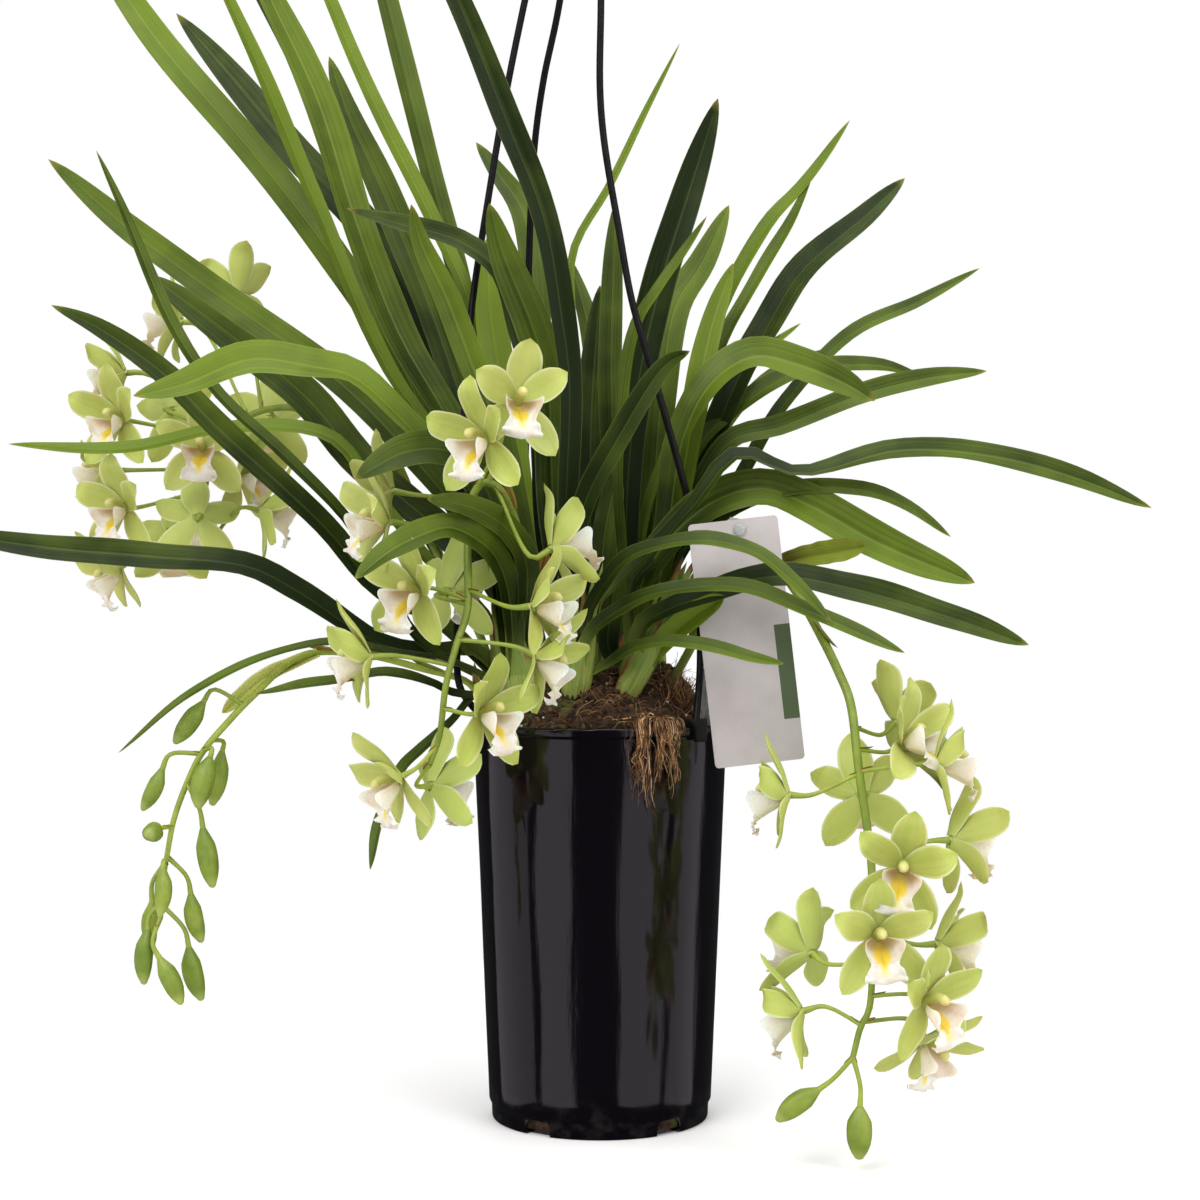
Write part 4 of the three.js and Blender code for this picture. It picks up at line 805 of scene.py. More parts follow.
for name, (at, lean, girth, leaves) in GROWTHS.items():
    growth = Surface()
    x, front = at
    ground = mix_top(x, -front)
    fan = sorted(leaves.items(), key=lambda leaf: -leaf[1][2])
    # pale is the leaf's shade value: its own tone, with painted shade or painted light added.
    for i, (leaf_name, (width, turn, tip_front, pale, course)) in enumerate(fan):
        seat = (i - (len(fan) - 1) / 2) * LEAF_SEAT
        root = (x + lean[0] * 0.3, seat - front - lean[1] * 0.3, ground + 6)
        start, steps = front - seat, len(course) // 2
        fronts = [start + (tip_front - start) * (k + 1) / steps for k in range(steps)]
        points = [spot(*place) for place in zip(course[::2], course[1::2], fronts)]
        keel = SHOOT_KEEL if leaf_name == "shoot" else LEAF_KEEL
        add_leaf(growth, width, turn, pale, [root, *points], keel)
    foot = (x, -front, ground - 6)
    for k in range(SCALES):
        turn_round = k * SCALE_TURN + rng.uniform(-20, 20)
        height = 27 + 6.5 * k + rng.uniform(-4, 4)
        dried = 0.6 if k == 0 else 0.3 * rng.random()
        shade = rng.uniform(0.7, 1.1)
        add_scale(growth, foot, lean, girth, turn_round, height, 74 - 4 * k, shade, dried)
    core = [
        (x + lean[0] * share, -front - lean[1] * share, ground + rise)
        for share, rise in ((0, -8), (0.5, 12), (1, BULB_TOP - 4), (1, BULB_TOP))
    ]
    radii = np.array((0.75, 0.95, 0.85, 0.45)) * girth
    add_rod(growth, core[:3], radii, 14, 9, (0.8, 0.1, 1), 1, tip=core[3])
    piece = growth.piece(name + "_leaves", [blade, sheath])
    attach(piece, "root")
    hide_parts(name)

# Crumbs and short fibres of the mix lie banked against the foot of each bulb, as they were
# pressed there by hand at potting.
BANKED, BANKED_LUMPS = 56, 34
banked = Surface()
for at, lean, girth, _ in GROWTHS.values():
    for k in range(BANKED):
        a, off = rng.uniform(0, math.tau), girth * 0.82 + rng.uniform(-0.8, 3.2)
        x, y = at[0] + off * math.cos(a), -at[1] + off * math.sin(a)
        place = on_mix(x, y, rng.uniform(-0.4, 1.9))
        if k < BANKED_LUMPS:
            length = rng.uniform(0.8, 2.7)
            size = length * np.array((1, rng.uniform(0.4, 0.75), rng.uniform(0.3, 0.5)))
            add_lump(banked, place, size, 0.18)
        else:
            way = np.array((rng.normal(0, 3), rng.normal(0, 3), rng.uniform(0, 4)))
            middle = place + way * 0.5 + rng.normal(0, 1, 3)
            add_fibre(banked, (place, middle, place + way), 0.16, 0.5)
banked_piece = banked.piece("mix_banked_at_bulbs", [peat], sharp=180)
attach(banked_piece, "root")

# The sprays: green stems that rise beside the bulbs, arch over and hang, each in its own place
# in the mix. Blooms stand round a stem on thin stalks: five waxy pale-green tepals, a white
# lip with pink-brown specks and a yellow crest, and the column over it with its cream cap.

# A spray's numbers are its stem's radius, its foot in the mix, the stem's course in the front
# view, and its bract with a width. A bloom's are its hub, its yaw, pitch and roll, and where its
# stalk leaves the stem. A bud's are where its stalk leaves, its neck, its tip and its girth.
SPRAYS = {
    "spray_right": (2.4, (38, 14), [
        (712, 610, 18), (742, 562, 30), (775, 566, 36), (795, 590, 41), (821, 636, 56),
        (839, 673, 72), (850, 701, 80), (859, 771, 92), (871, 860, 100), (872, 898, 104),
        (869, 1010, 112), (861, 1026, 114), (853, 1057, 117),
    ], (768, 566, 34, 805, 556, 38, 865, 546, 48, 13), [
        (895, 722, 66, 125, 35, 0, 861, 727), (901, 745, 92, 50, 25, 10, 862, 749),
        (935, 763, 104, 82, 5, 5, 860, 771), (863, 796, 66, 180, 5, 10, 862, 780),
        (789, 795, 92, -95, 0, 0, 858, 773), (949, 840, 86, 112, 0, 10, 871, 855),
        (902, 867, 124, -8, -8, 12, 871, 858), (877, 935, 130, 4, -4, -4, 872, 915),
        (812, 953, 88, -142, 22, 0, 870, 962), (936, 944, 92, 100, 0, 8, 871, 930),
        (803, 1011, 106, -98, -14, -8, 862, 1024), (925, 1000, 126, 34, -6, -6, 870, 996),
        (925, 1038, 96, 36, -42, 20, 864, 1022),
    ], [
        (853, 1057, 818, 1090, 116, 776, 1121, 114, 5.4),
        (853, 1057, 860, 1107, 118, 859, 1160, 118, 6.2),
    ]),
    "spray_front": (2.3, (-34, 12), [
        (531, 630, 20), (526, 570, 32), (516, 524, 42), (500, 490, 52), (484, 482, 55),
        (473, 496, 55), (468, 540, 52), (467, 612, 72), (457, 643, 82), (446, 685, 88),
        (439, 738, 88), (430, 764, 88),
    ], (529, 600, 26, 538, 575, 30, 546, 549, 34, 8), [
        (517, 402, 84, 14, 2, 4, 488, 486), (486, 439, 96, -34, -6, 0, 482, 490),
        (389, 522, 66, -62, 4, 12, 470, 536), (393, 491, 34, -100, 10, 10, 474, 500),
        (418, 590, 80, -32, -6, 8, 468, 600), (447, 592, 44, 150, 10, 0, 468, 604),
        (371, 657, 88, -76, -4, 0, 449, 665), (532, 606, 96, 68, 4, 0, 470, 590),
        (551, 549, 78, 112, 26, 12, 494, 486), (535, 655, 92, 76, -22, 10, 459, 640),
        (480, 714, 98, 48, 2, 2, 444, 708), (430, 786, 72, 132, -4, 12, 430, 764),
        (401, 777, 96, -58, -26, -4, 436, 745),
    ], []),
    "spray_left": (2.3, (-52, -30), [
        (482, 640, -36), (440, 560, -50), (380, 470, -66), (305, 411, -78), (265, 410, -84),
        (230, 430, -88), (205, 490, -90), (213, 549, -90),
    ], (440, 560, -50, 410, 500, -52, 385, 440, -54, 9), [
        (238, 294, -104, -150, 30, 0, 262, 410), (182, 322, -112, -92, 10, 0, 248, 416),
        (126, 373, -96, -86, 0, 0, 232, 428), (122, 420, -74, -26, 0, 0, 224, 440),
        (171, 411, -118, 172, 0, 20, 226, 436), (272, 419, -110, 196, 0, 0, 270, 410),
        (203, 448, -64, 2, 0, 0, 216, 456), (110, 470, -114, -82, 0, 0, 212, 470),
        (126, 508, -78, -30, -4, 0, 206, 490), (198, 518, -66, -168, -10, 0, 206, 520),
        (238, 476, -112, 62, 0, 0, 212, 468), (259, 510, -88, 104, -6, 10, 212, 540),
        (121, 567, -96, -62, -30, 0, 211, 546), (172, 536, -122, 178, -20, 0, 213, 549),
    ], []),
    "bud_spray": (1.9, (-60, 4), [
        (470, 684, 5), (420, 668, 10), (360, 654, 24), (301, 656, 40), (253, 696, 50),
        (228, 722, 54), (202, 753, 58), (187, 783, 60), (174, 819, 62), (168, 850, 64),
        (164, 875, 64), (161, 916, 66),
    ], (318, 652, 39, 265, 676, 46, 222, 713, 50, 9), [
    ], [
        (239, 700, 203, 703, 58, 174, 744, 60, 5), (202, 753, 162, 770, 62, 142, 811, 63, 4.3),
        (204, 750, 210, 758, 68, 198, 809, 72, 6), (212, 740, 222, 752, 46, 212, 806, 42, 5),
        (172, 826, 158, 830, 72, 147, 836, 84, 5), (187, 783, 203, 829, 66, 213, 888, 66, 5.3),
        (165, 866, 163, 869, 74, 160, 917, 78, 4.5), (168, 856, 191, 895, 62, 202, 943, 62, 4.8),
        (166, 862, 152, 903, 52, 152, 949, 50, 4.2), (163, 900, 148, 930, 66, 144, 985, 68, 4.8),
        (161, 916, 160, 959, 72, 182, 1005, 74, 5), (162, 905, 189, 948, 62, 202, 1001, 60, 5.3),
    ]),
}
FOOT_DEPTH = 12
JOINTS = (0.1, 0.19, 0.29, 0.4)
# A stalk's and a bud's swelling from end to end.
STALK_RADIUS = 1.15
BLOOM_STALK, BUD_STALK = (1.2, 0.95, 0.9, 0.95, 1.1, 1.6), (1.2, 1, 1, 1.3)
BUD_SWELL = (0.62, 0.93, 1, 0.99, 0.9, 0.68, 0.3)
BLOOM_SPAN = 62
PETAL_THICK, LIP_THICK = 0.55, 0.5
TEPAL_ROWS, TEPAL_COLUMNS = 13, 9
LIP_ROWS, LIP_COLUMNS = 30, 15
COLUMN_ROWS = COLUMN_SIDES = 12
# A tepal's angle round the face from the top one, its length and width in shares of the span,
# how far its middle and its tip stand forward, the depth of its cup, and its kind.
TEPALS = (
    (0, 0.52, 0.265, 0.10, 0.20, 0.18, 0), (60, 0.46, 0.245, 0.13, 0.26, 0.14, 1),
    (138, 0.54, 0.255, 0.08, 0.10, 0.16, 0), (-138, 0.54, 0.255, 0.08, 0.10, 0.16, 0),
    (-60, 0.46, 0.245, 0.13, 0.26, 0.14, 1),
)
TEPAL_STATIONS = (0, 0.14, 0.32, 0.52, 0.74, 0.9, 0.97, 1)
TEPAL_WIDTHS = (0.34, 0.52, 0.86, 1, 0.88, 0.54, 0.27, 0.03)
# Half widths and raised edges of the lip from the column's foot to its tongue.
LIP_STATIONS = (0, 0.15, 0.3, 0.44, 0.54, 0.62, 0.7, 0.8, 0.89, 0.96, 1)
LIP_HALVES = (0.05, 0.115, 0.15, 0.15, 0.12, 0.11, 0.135, 0.165, 0.165, 0.13, 0.065)
LIP_EDGES = (0.05, 0.15, 0.24, 0.21, 0.11, 0.05, 0.02, 0.0, -0.015, -0.02, -0.015)
LIP_LINE = (
    (0, -0.03, 0.03), (0, -0.10, 0.09), (0, -0.165, 0.19), (0, -0.225, 0.27), (0, -0.285, 0.29),
    (0, -0.335, 0.26),
)
COLUMN_LINE = ((0, -0.02, 0), (0, 0.035, 0.09), (0, 0.062, 0.18), (0, 0.045, 0.262))


def face_of(yaw, pitch, roll):
    """A bloom's right, up and forward. Yaw 0 faces the eye, 90 faces +X, and a roll is clockwise
    as its face is seen."""
    yaw, pitch, roll = np.radians((yaw, pitch, roll))
    level = math.cos(pitch)
    forward = np.array((math.sin(yaw) * level, -math.cos(yaw) * level, math.sin(pitch)))
    right = unit(np.cross((0, 0, 1), forward))
    right = right * math.cos(roll) - np.cross(forward, right) * math.sin(roll)
    return np.array((right, np.cross(forward, right), forward))


def add_tepal(surface, hub, own, freshness, openness, tepal):
    """One of a bloom's five tepals: a cupped, slightly twisted blade."""
    angle, length, width, middle, tip, cup, kind = tepal
    stations = np.linspace(0.06, 1, TEPAL_ROWS)
    over = np.linspace(-1, 1, TEPAL_COLUMNS)[None]
    a = math.radians(angle + rng.uniform(-5, 5))
    length *= rng.uniform(0.94, 1.0)
    width *= rng.uniform(0.96, 1.12)
    lifts = (0, middle * openness, tip * openness, tip * openness + rng.uniform(-0.05, 0.03))
    line = [
        (math.sin(a) * length * share, math.cos(a) * length * share, lift)
        for share, lift in zip((0, 0.38, 0.76, 1), lifts)
    ]
    places, ways, _ = smooth_line(line, stations)
    across = unit(np.cross(ways, np.cross(unit(np.cross(line[-1], (0, 0, 1))), ways)))
    facing = np.cross(across, ways)
    twist = np.radians(rng.uniform(-14, 14)) * stations[:, None]
    turned = across * np.cos(twist) + facing * np.sin(twist)
    facing = facing * np.cos(twist) - across * np.sin(twist)
    widths = smooth_share(TEPAL_STATIONS, TEPAL_WIDTHS, stations)[:, None] * width
    stations = stations[:, None]
    wave = 0.05 * np.sin(5 * stations + rng.uniform(0, 6)) * over**3
    depth = widths * (-cup * (1 - over**2) - 0.07 * over**4 * stations + wave)
    sheet = places[:, None] + turned[:, None] * (widths * over / 2)[..., None]
    sheet = hub + (sheet + facing[:, None] * depth[..., None]) @ own
    long = length * BLOOM_SPAN
    thin_body(surface, sheet, PETAL_THICK, stations[:, 0], long, (freshness, kind))


def add_lip(surface, hub, own):
    """A bloom's lip: a trough with raised side lobes and a crest, and a frilled tongue."""
    stations = np.linspace(0, 1, LIP_ROWS)
    over = np.linspace(-1, 1, LIP_COLUMNS)[None]
    places, ways, length = smooth_line(LIP_LINE, stations)
    halves = smooth_share(LIP_STATIONS, LIP_HALVES, stations)[:, None]
    edges = smooth_share(LIP_STATIONS, LIP_EDGES, stations)[:, None]
    on = stations[:, None]
    frill = np.sin(36 * on + 4 * np.sign(over) + rng.uniform(0, 6))
    frill *= 0.03 * np.clip((on - 0.6) / 0.15, 0, 1) * np.abs(over) ** 3
    crest = np.exp(-(((np.abs(over) - 0.2) / 0.1) ** 2)) * np.exp(-(((on - 0.42) / 0.22) ** 4))
    aside = np.array((-1.0, 0, 0))
    steep = np.sin(np.abs(over) * 1.45) / math.sin(1.45)
    out = np.where(edges > 0.08, steep, np.abs(over)) * np.sign(over)
    lift = edges * np.abs(over) ** np.where(edges > 0.08, 2.0, 1.6) + 0.028 * crest + frill
    facing = np.cross(aside, ways)[:, None]
    upward = np.where(edges[..., None] > 0.02, np.array((0, 0.6, 0.8)), facing)
    sheet = places[:, None] + aside * (halves * out)[..., None] + upward * lift[..., None]
    thin_body(surface, hub + sheet @ own, LIP_THICK, stations, length, (0, 0), finish=1)


def add_column(surface, hub, own):
    """The column that arches over the lip and ends in its cap."""
    stations = np.linspace(0, 1, COLUMN_ROWS)
    places, ways, _ = smooth_line(COLUMN_LINE, stations)
    radii = (0.05, 0.04, 0.038, 0.042, 0.036, 0.016)
    radii = np.interp(stations, (0, 0.3, 0.75, 0.86, 0.93, 1), radii)
    rings = round_rings(places, ways, radii, COLUMN_SIDES)
    skin, faces = ring_skin(rings, None, places[-1] + ways[-1] * 0.012)
    lay = np.zeros((len(skin), 3))
    lay[:, 1] = [*np.repeat(stations, COLUMN_SIDES), 1]
    surface.add(hub + skin @ own, faces, lay, (0, 0, 1), finish=2)


petal = Finish("waxy tepal", specular=0.35, rough=0.45, inside=0.15, depth=0.003)
over, along, _ = petal.carried("lay").split()
fresh, _, side = petal.carried("tone").split()
veins = petal.strokes((7, 0.6, 90), 2)
fresh = petal.mottle(0.008).fade(0.3, 0.7, -0.2, 0.2) + fresh.fade(0, 1, 0.2, 0.8)
petal.colour(fresh, "#a4b550", "#b8c168")
petal.colour(veins.fade(0.4, 0.62, 0, 0.2), "#c0c77b")
petal.colour(abs(over).fade(0.78, 1, 0, 0.75), "#d4d6a4")
petal.colour(along.fade(0.32, 0.05, 0, 0.6), "#bcc06c")
petal.colour(side.fade(0, -0.6, 0, 0.4), "#b0c163")
petal.colour(along.fade(0.9, 1, 0, 0.6), "#97ab46")
petal.relief(veins, 0.00025)

lip = Finish("white lip", specular=0.35, rough=0.5, inside=0.3, depth=0.003)
over, along, _ = lip.carried("lay").split()
edge = abs(over)
lip.colour(lip.mottle(0.006).fade(0.3, 0.7), "#d6cab9", "#e2dfd6")
lip.colour(edge.fade(0.42, 0.08) * along.fade(0.88, 0.62), "#dfce66")
lip.colour(edge.fade(0.42, 0.2) * along.fade(0.7, 0.5), "#dcc040")
lip.colour(along.fade(0.34, 0.1, 0, 0.8), "#a8954e")
lip.colour(lip.carried("tone").split()[2].fade(0, -0.6, 0, 0.9), "#e6dfce")
lip.colour(edge.fade(0.86, 0.98, 0, 0.7), "#efeee6")
margin = edge.fade(0.45, 0.85).math("MAXIMUM", along.fade(0.72, 0.95))
lip.colour(lip.mottle(0.0008, 2).fade(0.58, 0.68, 0, 0.45) * margin, "#c2a084")
lip.relief(lip.mottle(0.0016), 0.0003)

column = Finish("column and cap", specular=0.45, rough=0.38, inside=0.2, depth=0.003)
along = column.carried("lay").split()[1]
column.colour(along.fade(0.1, 0.8), "#bcbd6c", "#a3ac55")
column.colour(column.mottle(0.0013, 2).fade(0.58, 0.66) * along.fade(0.85, 0.4), "#b08a5a")
column.colour(along.fade(0.8, 0.86), "#c9c57c")
column.relief(column.mottle(0.002), 0.0002)

stalk = Finish("green stem", specular=0.45, rough=0.4, inside=0.1, depth=0.003)
shade, seam, _ = stalk.carried("tone").split()
fine = stalk.mottle(0.0022, 4)
shade = shade + stalk.mottle(0.012, 4).fade(0.3, 0.7, -0.12, 0.12)
stalk.colour(shade, "#a8b546", "#4a6814")
stalk.colour(fine.fade(0.55, 0.75, 0, 0.15), "#8a8f3c")
stalk.colour(seam * stalk.carried("lay").split()[1].fade(0.75, 1), "#c6cf7a")
stalk.relief(fine, 0.0002)


def nearest(line, px, py):
    """The point of a stem that the front view shows nearest to a place."""
    reach = (EYE_DISTANCE + line[:, 1]) / FOCAL
    middle = FRAME_SIZE / 2
    aside, down = line[:, 0] / reach, (EYE_HEIGHT - line[:, 2]) / reach
    return line[np.hypot(middle + aside - px, middle + down - py).argmin()]


def add_bract(surface, start, way, length, width, shade, dry):
    """A small pointed scale below a stalk or round a joint of the stem."""
    way = unit(way)
    aside = unit(np.cross(way, (0.2, 0.3, 1)))
    stations = np.linspace(0, 1, 7)
    over = np.linspace(-1, 1, 7)[None]
    half = (width / 2 * np.sin(np.pi * (0.25 + 0.75 * stations)) ** 0.8)[:, None]
    lift = 0.25 * length * stations[:, None] ** 2 + 0.35 * half * over**2
    sheet = start + way * (stations * length)[:, None, None] + aside * (half * over)[..., None]
    sheet = sheet + np.cross(aside, way) * lift[..., None]
    thin_body(surface, sheet, 0.5, stations, length, (shade, dry))


def add_stalk(surfaces, start, end, way, swells, rows, shade, bract, wide, bract_shade):
    """A stalk from the stem to a bloom or a bud, with its small bract."""
    stems, scales = surfaces
    lead = min(10, np.linalg.norm(end - start) * 0.4)
    course = [start, end - way * lead, end]
    add_rod(stems, course, np.array(swells) * STALK_RADIUS, 10, rows, (shade, 0, 1))
    length = rng.uniform(*bract)
    add_bract(scales, start, course[1] - start, length, wide, bract_shade, rng.uniform(0.2, 1))


def bud_ridge(turns):
    """A bud is a little three-sided."""
    return 1 + 0.06 * np.cos(3 * turns) - 0.02 * np.cos(6 * turns)


for name, (radius, (x, front), rachis, bract, bloom_rows, bud_rows) in SPRAYS.items():
    stems, blooms, scales = Surface(), Surface(), Surface()
    young = name == "bud_spray"
    soil = np.array((x, -front, mix_top(x, -front)))
    rise = unit(spot(*rachis[0]) - soil) * FOOT_DEPTH
    course = [soil - rise, soil + rise, *(spot(*place) for place in rachis)]
    radii = np.array((1, 1, 0.9, 0.62)) * radius
    add_rod(stems, course, radii, 14, 90, (0.66 if young else 0.4, 0, 1))
    line = smooth_line(course, np.linspace(0, 1, 400))[0]
    dry = 0.8 if name == "spray_front" else 0.12
    blade_line = [spot(*bract[k : k + 3]) for k in (0, 3, 6)]
    add_leaf(scales, bract[9], (25, 10), 0.78, blade_line, 0.3, 0.6, dry, 1 if young else 0)
    for joint, way in zip(*smooth_line(course, JOINTS)[:2]):
        add_bract(scales, joint - way * 3, way, 20, 9, 0.9, rng.uniform(0.1, 0.8))
    for row in bloom_rows:
        centre, own = spot(*row[:3]), face_of(*row[3:6])
        start, end, shade = nearest(line, *row[6:]), centre - own[2] * 0.6, rng.uniform(0.5, 0.8)
        add_stalk((stems, scales), start, end, own[2], BLOOM_STALK, 16, shade, (5, 9), 4, 0.8)
        own = own * BLOOM_SPAN
        freshness, openness = rng.uniform(0, 1), rng.uniform(0.85, 1.3)
        for tepal in TEPALS:
            add_tepal(blooms, centre, own, freshness, openness, tepal)
        add_lip(blooms, centre, own)
        add_column(blooms, centre, own)
    for row in bud_rows:
        start, neck, top, girth = nearest(line, *row[:2]), spot(*row[2:5]), spot(*row[5:8]), row[8]
        way = unit(top - neck)
        add_stalk((stems, scales), start, neck, way, BUD_STALK, 12, 0.6, (4, 7), 3.5, 0.7)
        bend = np.cross(way, (0, 1, 0)) * rng.uniform(-1.2, 1.2)
        swell = (BUD_STALK[-1] * STALK_RADIUS, *(np.array(BUD_SWELL) * girth))
        bud_line = [neck - way * 0.5, (neck + top) / 2 + bend, top - way * 0.8]
        tone = (rng.uniform(0.24, 0.44), 0.3, 1)
        add_rod(stems, bud_line, swell, 18, 18, tone, ridge=bud_ridge, tip=top)
    pieces = [(stems, "stems", [stalk], "bud"), (scales, "bracts", [blade, petal], "leaf")]
    if bloom_rows:
        pieces.append((blooms, "blooms", [petal, lip, column], "flower"))
    for surface, part, finishes, slot_name in pieces:
        piece = surface.piece(f"{name}_{part}", finishes)
        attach(piece, "root")
        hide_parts(name)

# The hanger: one moulding of satin black plastic, three thin round legs that run up to a small
# crown with its hook. Each leg ends below in a clip that is pushed over the pot's lip.
HANGER_WIRE = 3.8
CLEARANCE = 0.3
CROWN_X, CROWN_RADIUS, CROWN_BOTTOM, CROWN_TOP = -3.3, 9, 764, 770
CLIP_INSIDE, CLIP_OUTSIDE, CLIP_TOP, CLIP_WIDTH, CLIP_WALL = 64, 72.4, 217, 9, 2.1
CLIP_INNER, CLIP_OUTER = 209.5, 205
LEGS = {
    "hanger_leg_left": (-153, (-4.6, -2.6), [
        (525, 0, -6), (506, 94, -7), (488, 200, -8), (472, 306, -10), (466, 390, 6),
        (462, 450, 9), (460, 510, 8), (460, 563, 6), (457, 640, 14), (461, 690, 26)]),
    "hanger_leg_back": (117, (0, 5.2), [
        (560, 0, -22), (543, 83, -28), (534, 152, -34), (528, 300, -44), (526, 430, -59),
        (526, 530, -66), (528, 610, -67), (538, 680, -66)]),
    "hanger_leg_right": (-43, (4.6, -2.6), [
        (601, 0, 0), (600, 89, 0), (604, 140, 0), (619, 230, 3), (632, 301, 6), (655, 380, 9),
        (683, 480, 13), (693, 520, 14), (699, 600, 24), (700, 670, 36)]),
}
HOOK_RADIUS, HOOK_RISE = 13, 36.5
HOOK_ANGLES = (-118, -150, 178, 145, 110, 75, 40, 5, -30)

black = Finish("satin black moulding", specular=0.2)
black.colour(black.mottle(0.01).fade(0.3, 0.7), "#0f0f11", "#060607")
black.gloss(black.mottle(0.002, 4).fade(0.3, 0.7, 0.32, 0.5))
black.relief(black.mottle(0.0012), 0.00012)


def round_axis(radius, angle, z):
    """A point at an angle round the pot's axis."""
    a = math.radians(angle)
    return np.array((radius * math.cos(a), radius * math.sin(a), z))


def add_prism(surface, outline, depth, place, edge=0.5):
    """A moulded bar: an outline with its corners eased, drawn out along its depth, with its ends
    eased too. `place` sets its (across, up, along) points in the scene."""
    outline = np.array(outline, float)
    eased = []
    for back, corner, on in zip(np.roll(outline, 1, 0), outline, np.roll(outline, -1, 0)):
        for side in (back - corner, on - corner):
            reach = np.linalg.norm(side)
            eased.append(corner + side / reach * min(edge, reach * 0.4))
    eased = np.array(eased)
    inward = unit(eased.mean(axis=0) - eased) * edge
    ends = ((0, 0.4), (0.4 * edge, 0.12), (edge, 0))
    rows = [*ends, *((depth - w, shrink) for w, shrink in ends[::-1])]
    rings = [np.insert(eased + inward * shrink, 2, w, axis=1) for w, shrink in rows]
    points, faces = ring_skin(rings)
    surface.add(place(points), faces, tone=(0.5, 0, 1))


for name, (angle, (top_x, top_y), way) in LEGS.items():
    leg = Surface()
    x = CROWN_X + top_x
    course = [(x, top_y, CROWN_BOTTOM - CLEARANCE), (x, top_y, CROWN_BOTTOM - 12)]
    course += [spot(*place) for place in way]
    course.append(round_axis((CLIP_INSIDE + CLIP_OUTSIDE) / 2, angle, CLIP_TOP - 1.6))
    add_rod(leg, course, (HANGER_WIRE / 2,) * 2, 14, 120)
    seat, inner, outer = POT_HEIGHT + CLEARANCE, CLIP_INSIDE + CLIP_WALL, CLIP_OUTSIDE - CLIP_WALL
    outline = [
        (CLIP_INSIDE, CLIP_INNER), (inner, CLIP_INNER), (inner, seat), (outer, seat),
        (outer, CLIP_OUTER), (CLIP_OUTSIDE, CLIP_OUTER), (CLIP_OUTSIDE, CLIP_TOP),
        (CLIP_INSIDE, CLIP_TOP),
    ]
    out, aside, up = round_axis(1, angle, 0), round_axis(1, angle + 90, 0), np.array((0, 0, 1))

    def on_lip(points, axes=np.array((out, up, -aside)), side=aside * CLIP_WIDTH / 2):
        return points @ axes + side

    add_prism(leg, outline, CLIP_WIDTH, on_lip)
    piece = leg.piece(name + "_wire", [black])
    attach(piece, "root")
    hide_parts(name)

hook = Surface()
r = CROWN_RADIUS
crown_profile = [
    (0, CROWN_BOTTOM), (r - 0.9, CROWN_BOTTOM), (r - 0.2, CROWN_BOTTOM + 0.4),
    (r, CROWN_BOTTOM + 1.2), (r, CROWN_TOP - 1.2), (r - 0.3, CROWN_TOP - 0.4),
    (r - 1.2, CROWN_TOP), (0, CROWN_TOP),
]
crown, crown_faces = turned_body(crown_profile, 40)
hook.add(crown + (CROWN_X, 0, 0), crown_faces, tone=(0.5, 0, 1))
hook_line = [(CROWN_X, 0, CROWN_TOP - 3), (CROWN_X, 0, CROWN_TOP + 0.45 * HOOK_RISE)]
for a in np.radians(HOOK_ANGLES):
    x, z = HOOK_RADIUS * math.cos(a), HOOK_RISE + HOOK_RADIUS * math.sin(a)
    hook_line.append((CROWN_X + x, 0, CROWN_TOP + z))
add_rod(hook, hook_line, (HANGER_WIRE / 2,) * 2, 14, 60)
piece = hook.piece("hanger_crown_and_hook", [black])
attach(piece, "root")
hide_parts("hanger_hook")

# The label: a card with a plain green band, hung by its hole on the peg of a clear grey stake
# that stands in the mix. The card is a little bowed and has eased corners.
TAG_WIDTH, TAG_HEIGHT, TAG_THICK = 47, 128, 0.8
TAG_LEAN = 6.5
CARD_CORNER, CARD_BOW, CARD_RINGS = 2.2, 0.7, 14
PEG_RADIUS = 1.6
STAKE_WIDTH, STAKE_THICK = 10, 1.4
tag_middle, peg_at = spot(746.25, 641.75, 44), spot(739.5, 530, 44)
lean = math.radians(TAG_LEAN)
card_across = np.array((math.cos(lean), 0, math.sin(lean)))
card_up = np.array((-math.sin(lean), 0, math.cos(lean)))

# The card's outline with its corners eased, then rows of points from its hole out to it.
outline = []
for u, v, first in ((1, 1, 0), (-1, 1, 90), (-1, -1, 180), (1, -1, 270)):
    for a in np.radians(first + 18 * np.arange(6)):
        x = u * (TAG_WIDTH / 2 - CARD_CORNER) + CARD_CORNER * math.cos(a)
        outline.append((x, v * (TAG_HEIGHT / 2 - CARD_CORNER) + CARD_CORNER * math.sin(a)))
outline = np.array(outline)
filled = []
for start, end in zip(outline, np.roll(outline, -1, axis=0)):
    steps = max(1, round(np.linalg.norm(end - start) / 5))
    filled += [start + (end - start) * k / steps for k in range(steps)]
outline = np.array(filled)
peg = np.array(((peg_at - tag_middle) @ card_across, (peg_at - tag_middle) @ card_up))
hole = peg + unit(outline - peg) * (PEG_RADIUS + CLEARANCE)
shares = np.array([*np.linspace(0, 1, CARD_RINGS)[:-1] ** 1.4, 0.995, 1])
flat = hole[:, None] + (outline - hole)[:, None] * shares[None, :, None]
thin = np.where(shares > 0.999, 0.5, 1.0) * TAG_THICK / 2
bow = CARD_BOW * ((flat[..., 0] / (TAG_WIDTH / 2)) ** 2 - 0.35)
bow *= np.clip((peg[1] - flat[..., 1]) / 40, 0, 1)
front, back = (np.dstack([flat, bow + side]) for side in (thin, -thin))
loops = np.concatenate([front, back[:, ::-1]], axis=1)
around, across = loops.shape[:2]
card_faces = [
    (i + j, n + j, n + (j + 1) % across, i + (j + 1) % across)
    for i, n in ((i * across, (i + 1) % around * across) for i in range(around))
    for j in range(across)
]
loops = loops.reshape(-1, 3)
tone = np.zeros_like(loops)
tone[:, 2] = np.where(np.tile(np.arange(across) < across / 2, around), 1, -1)
card = Surface()
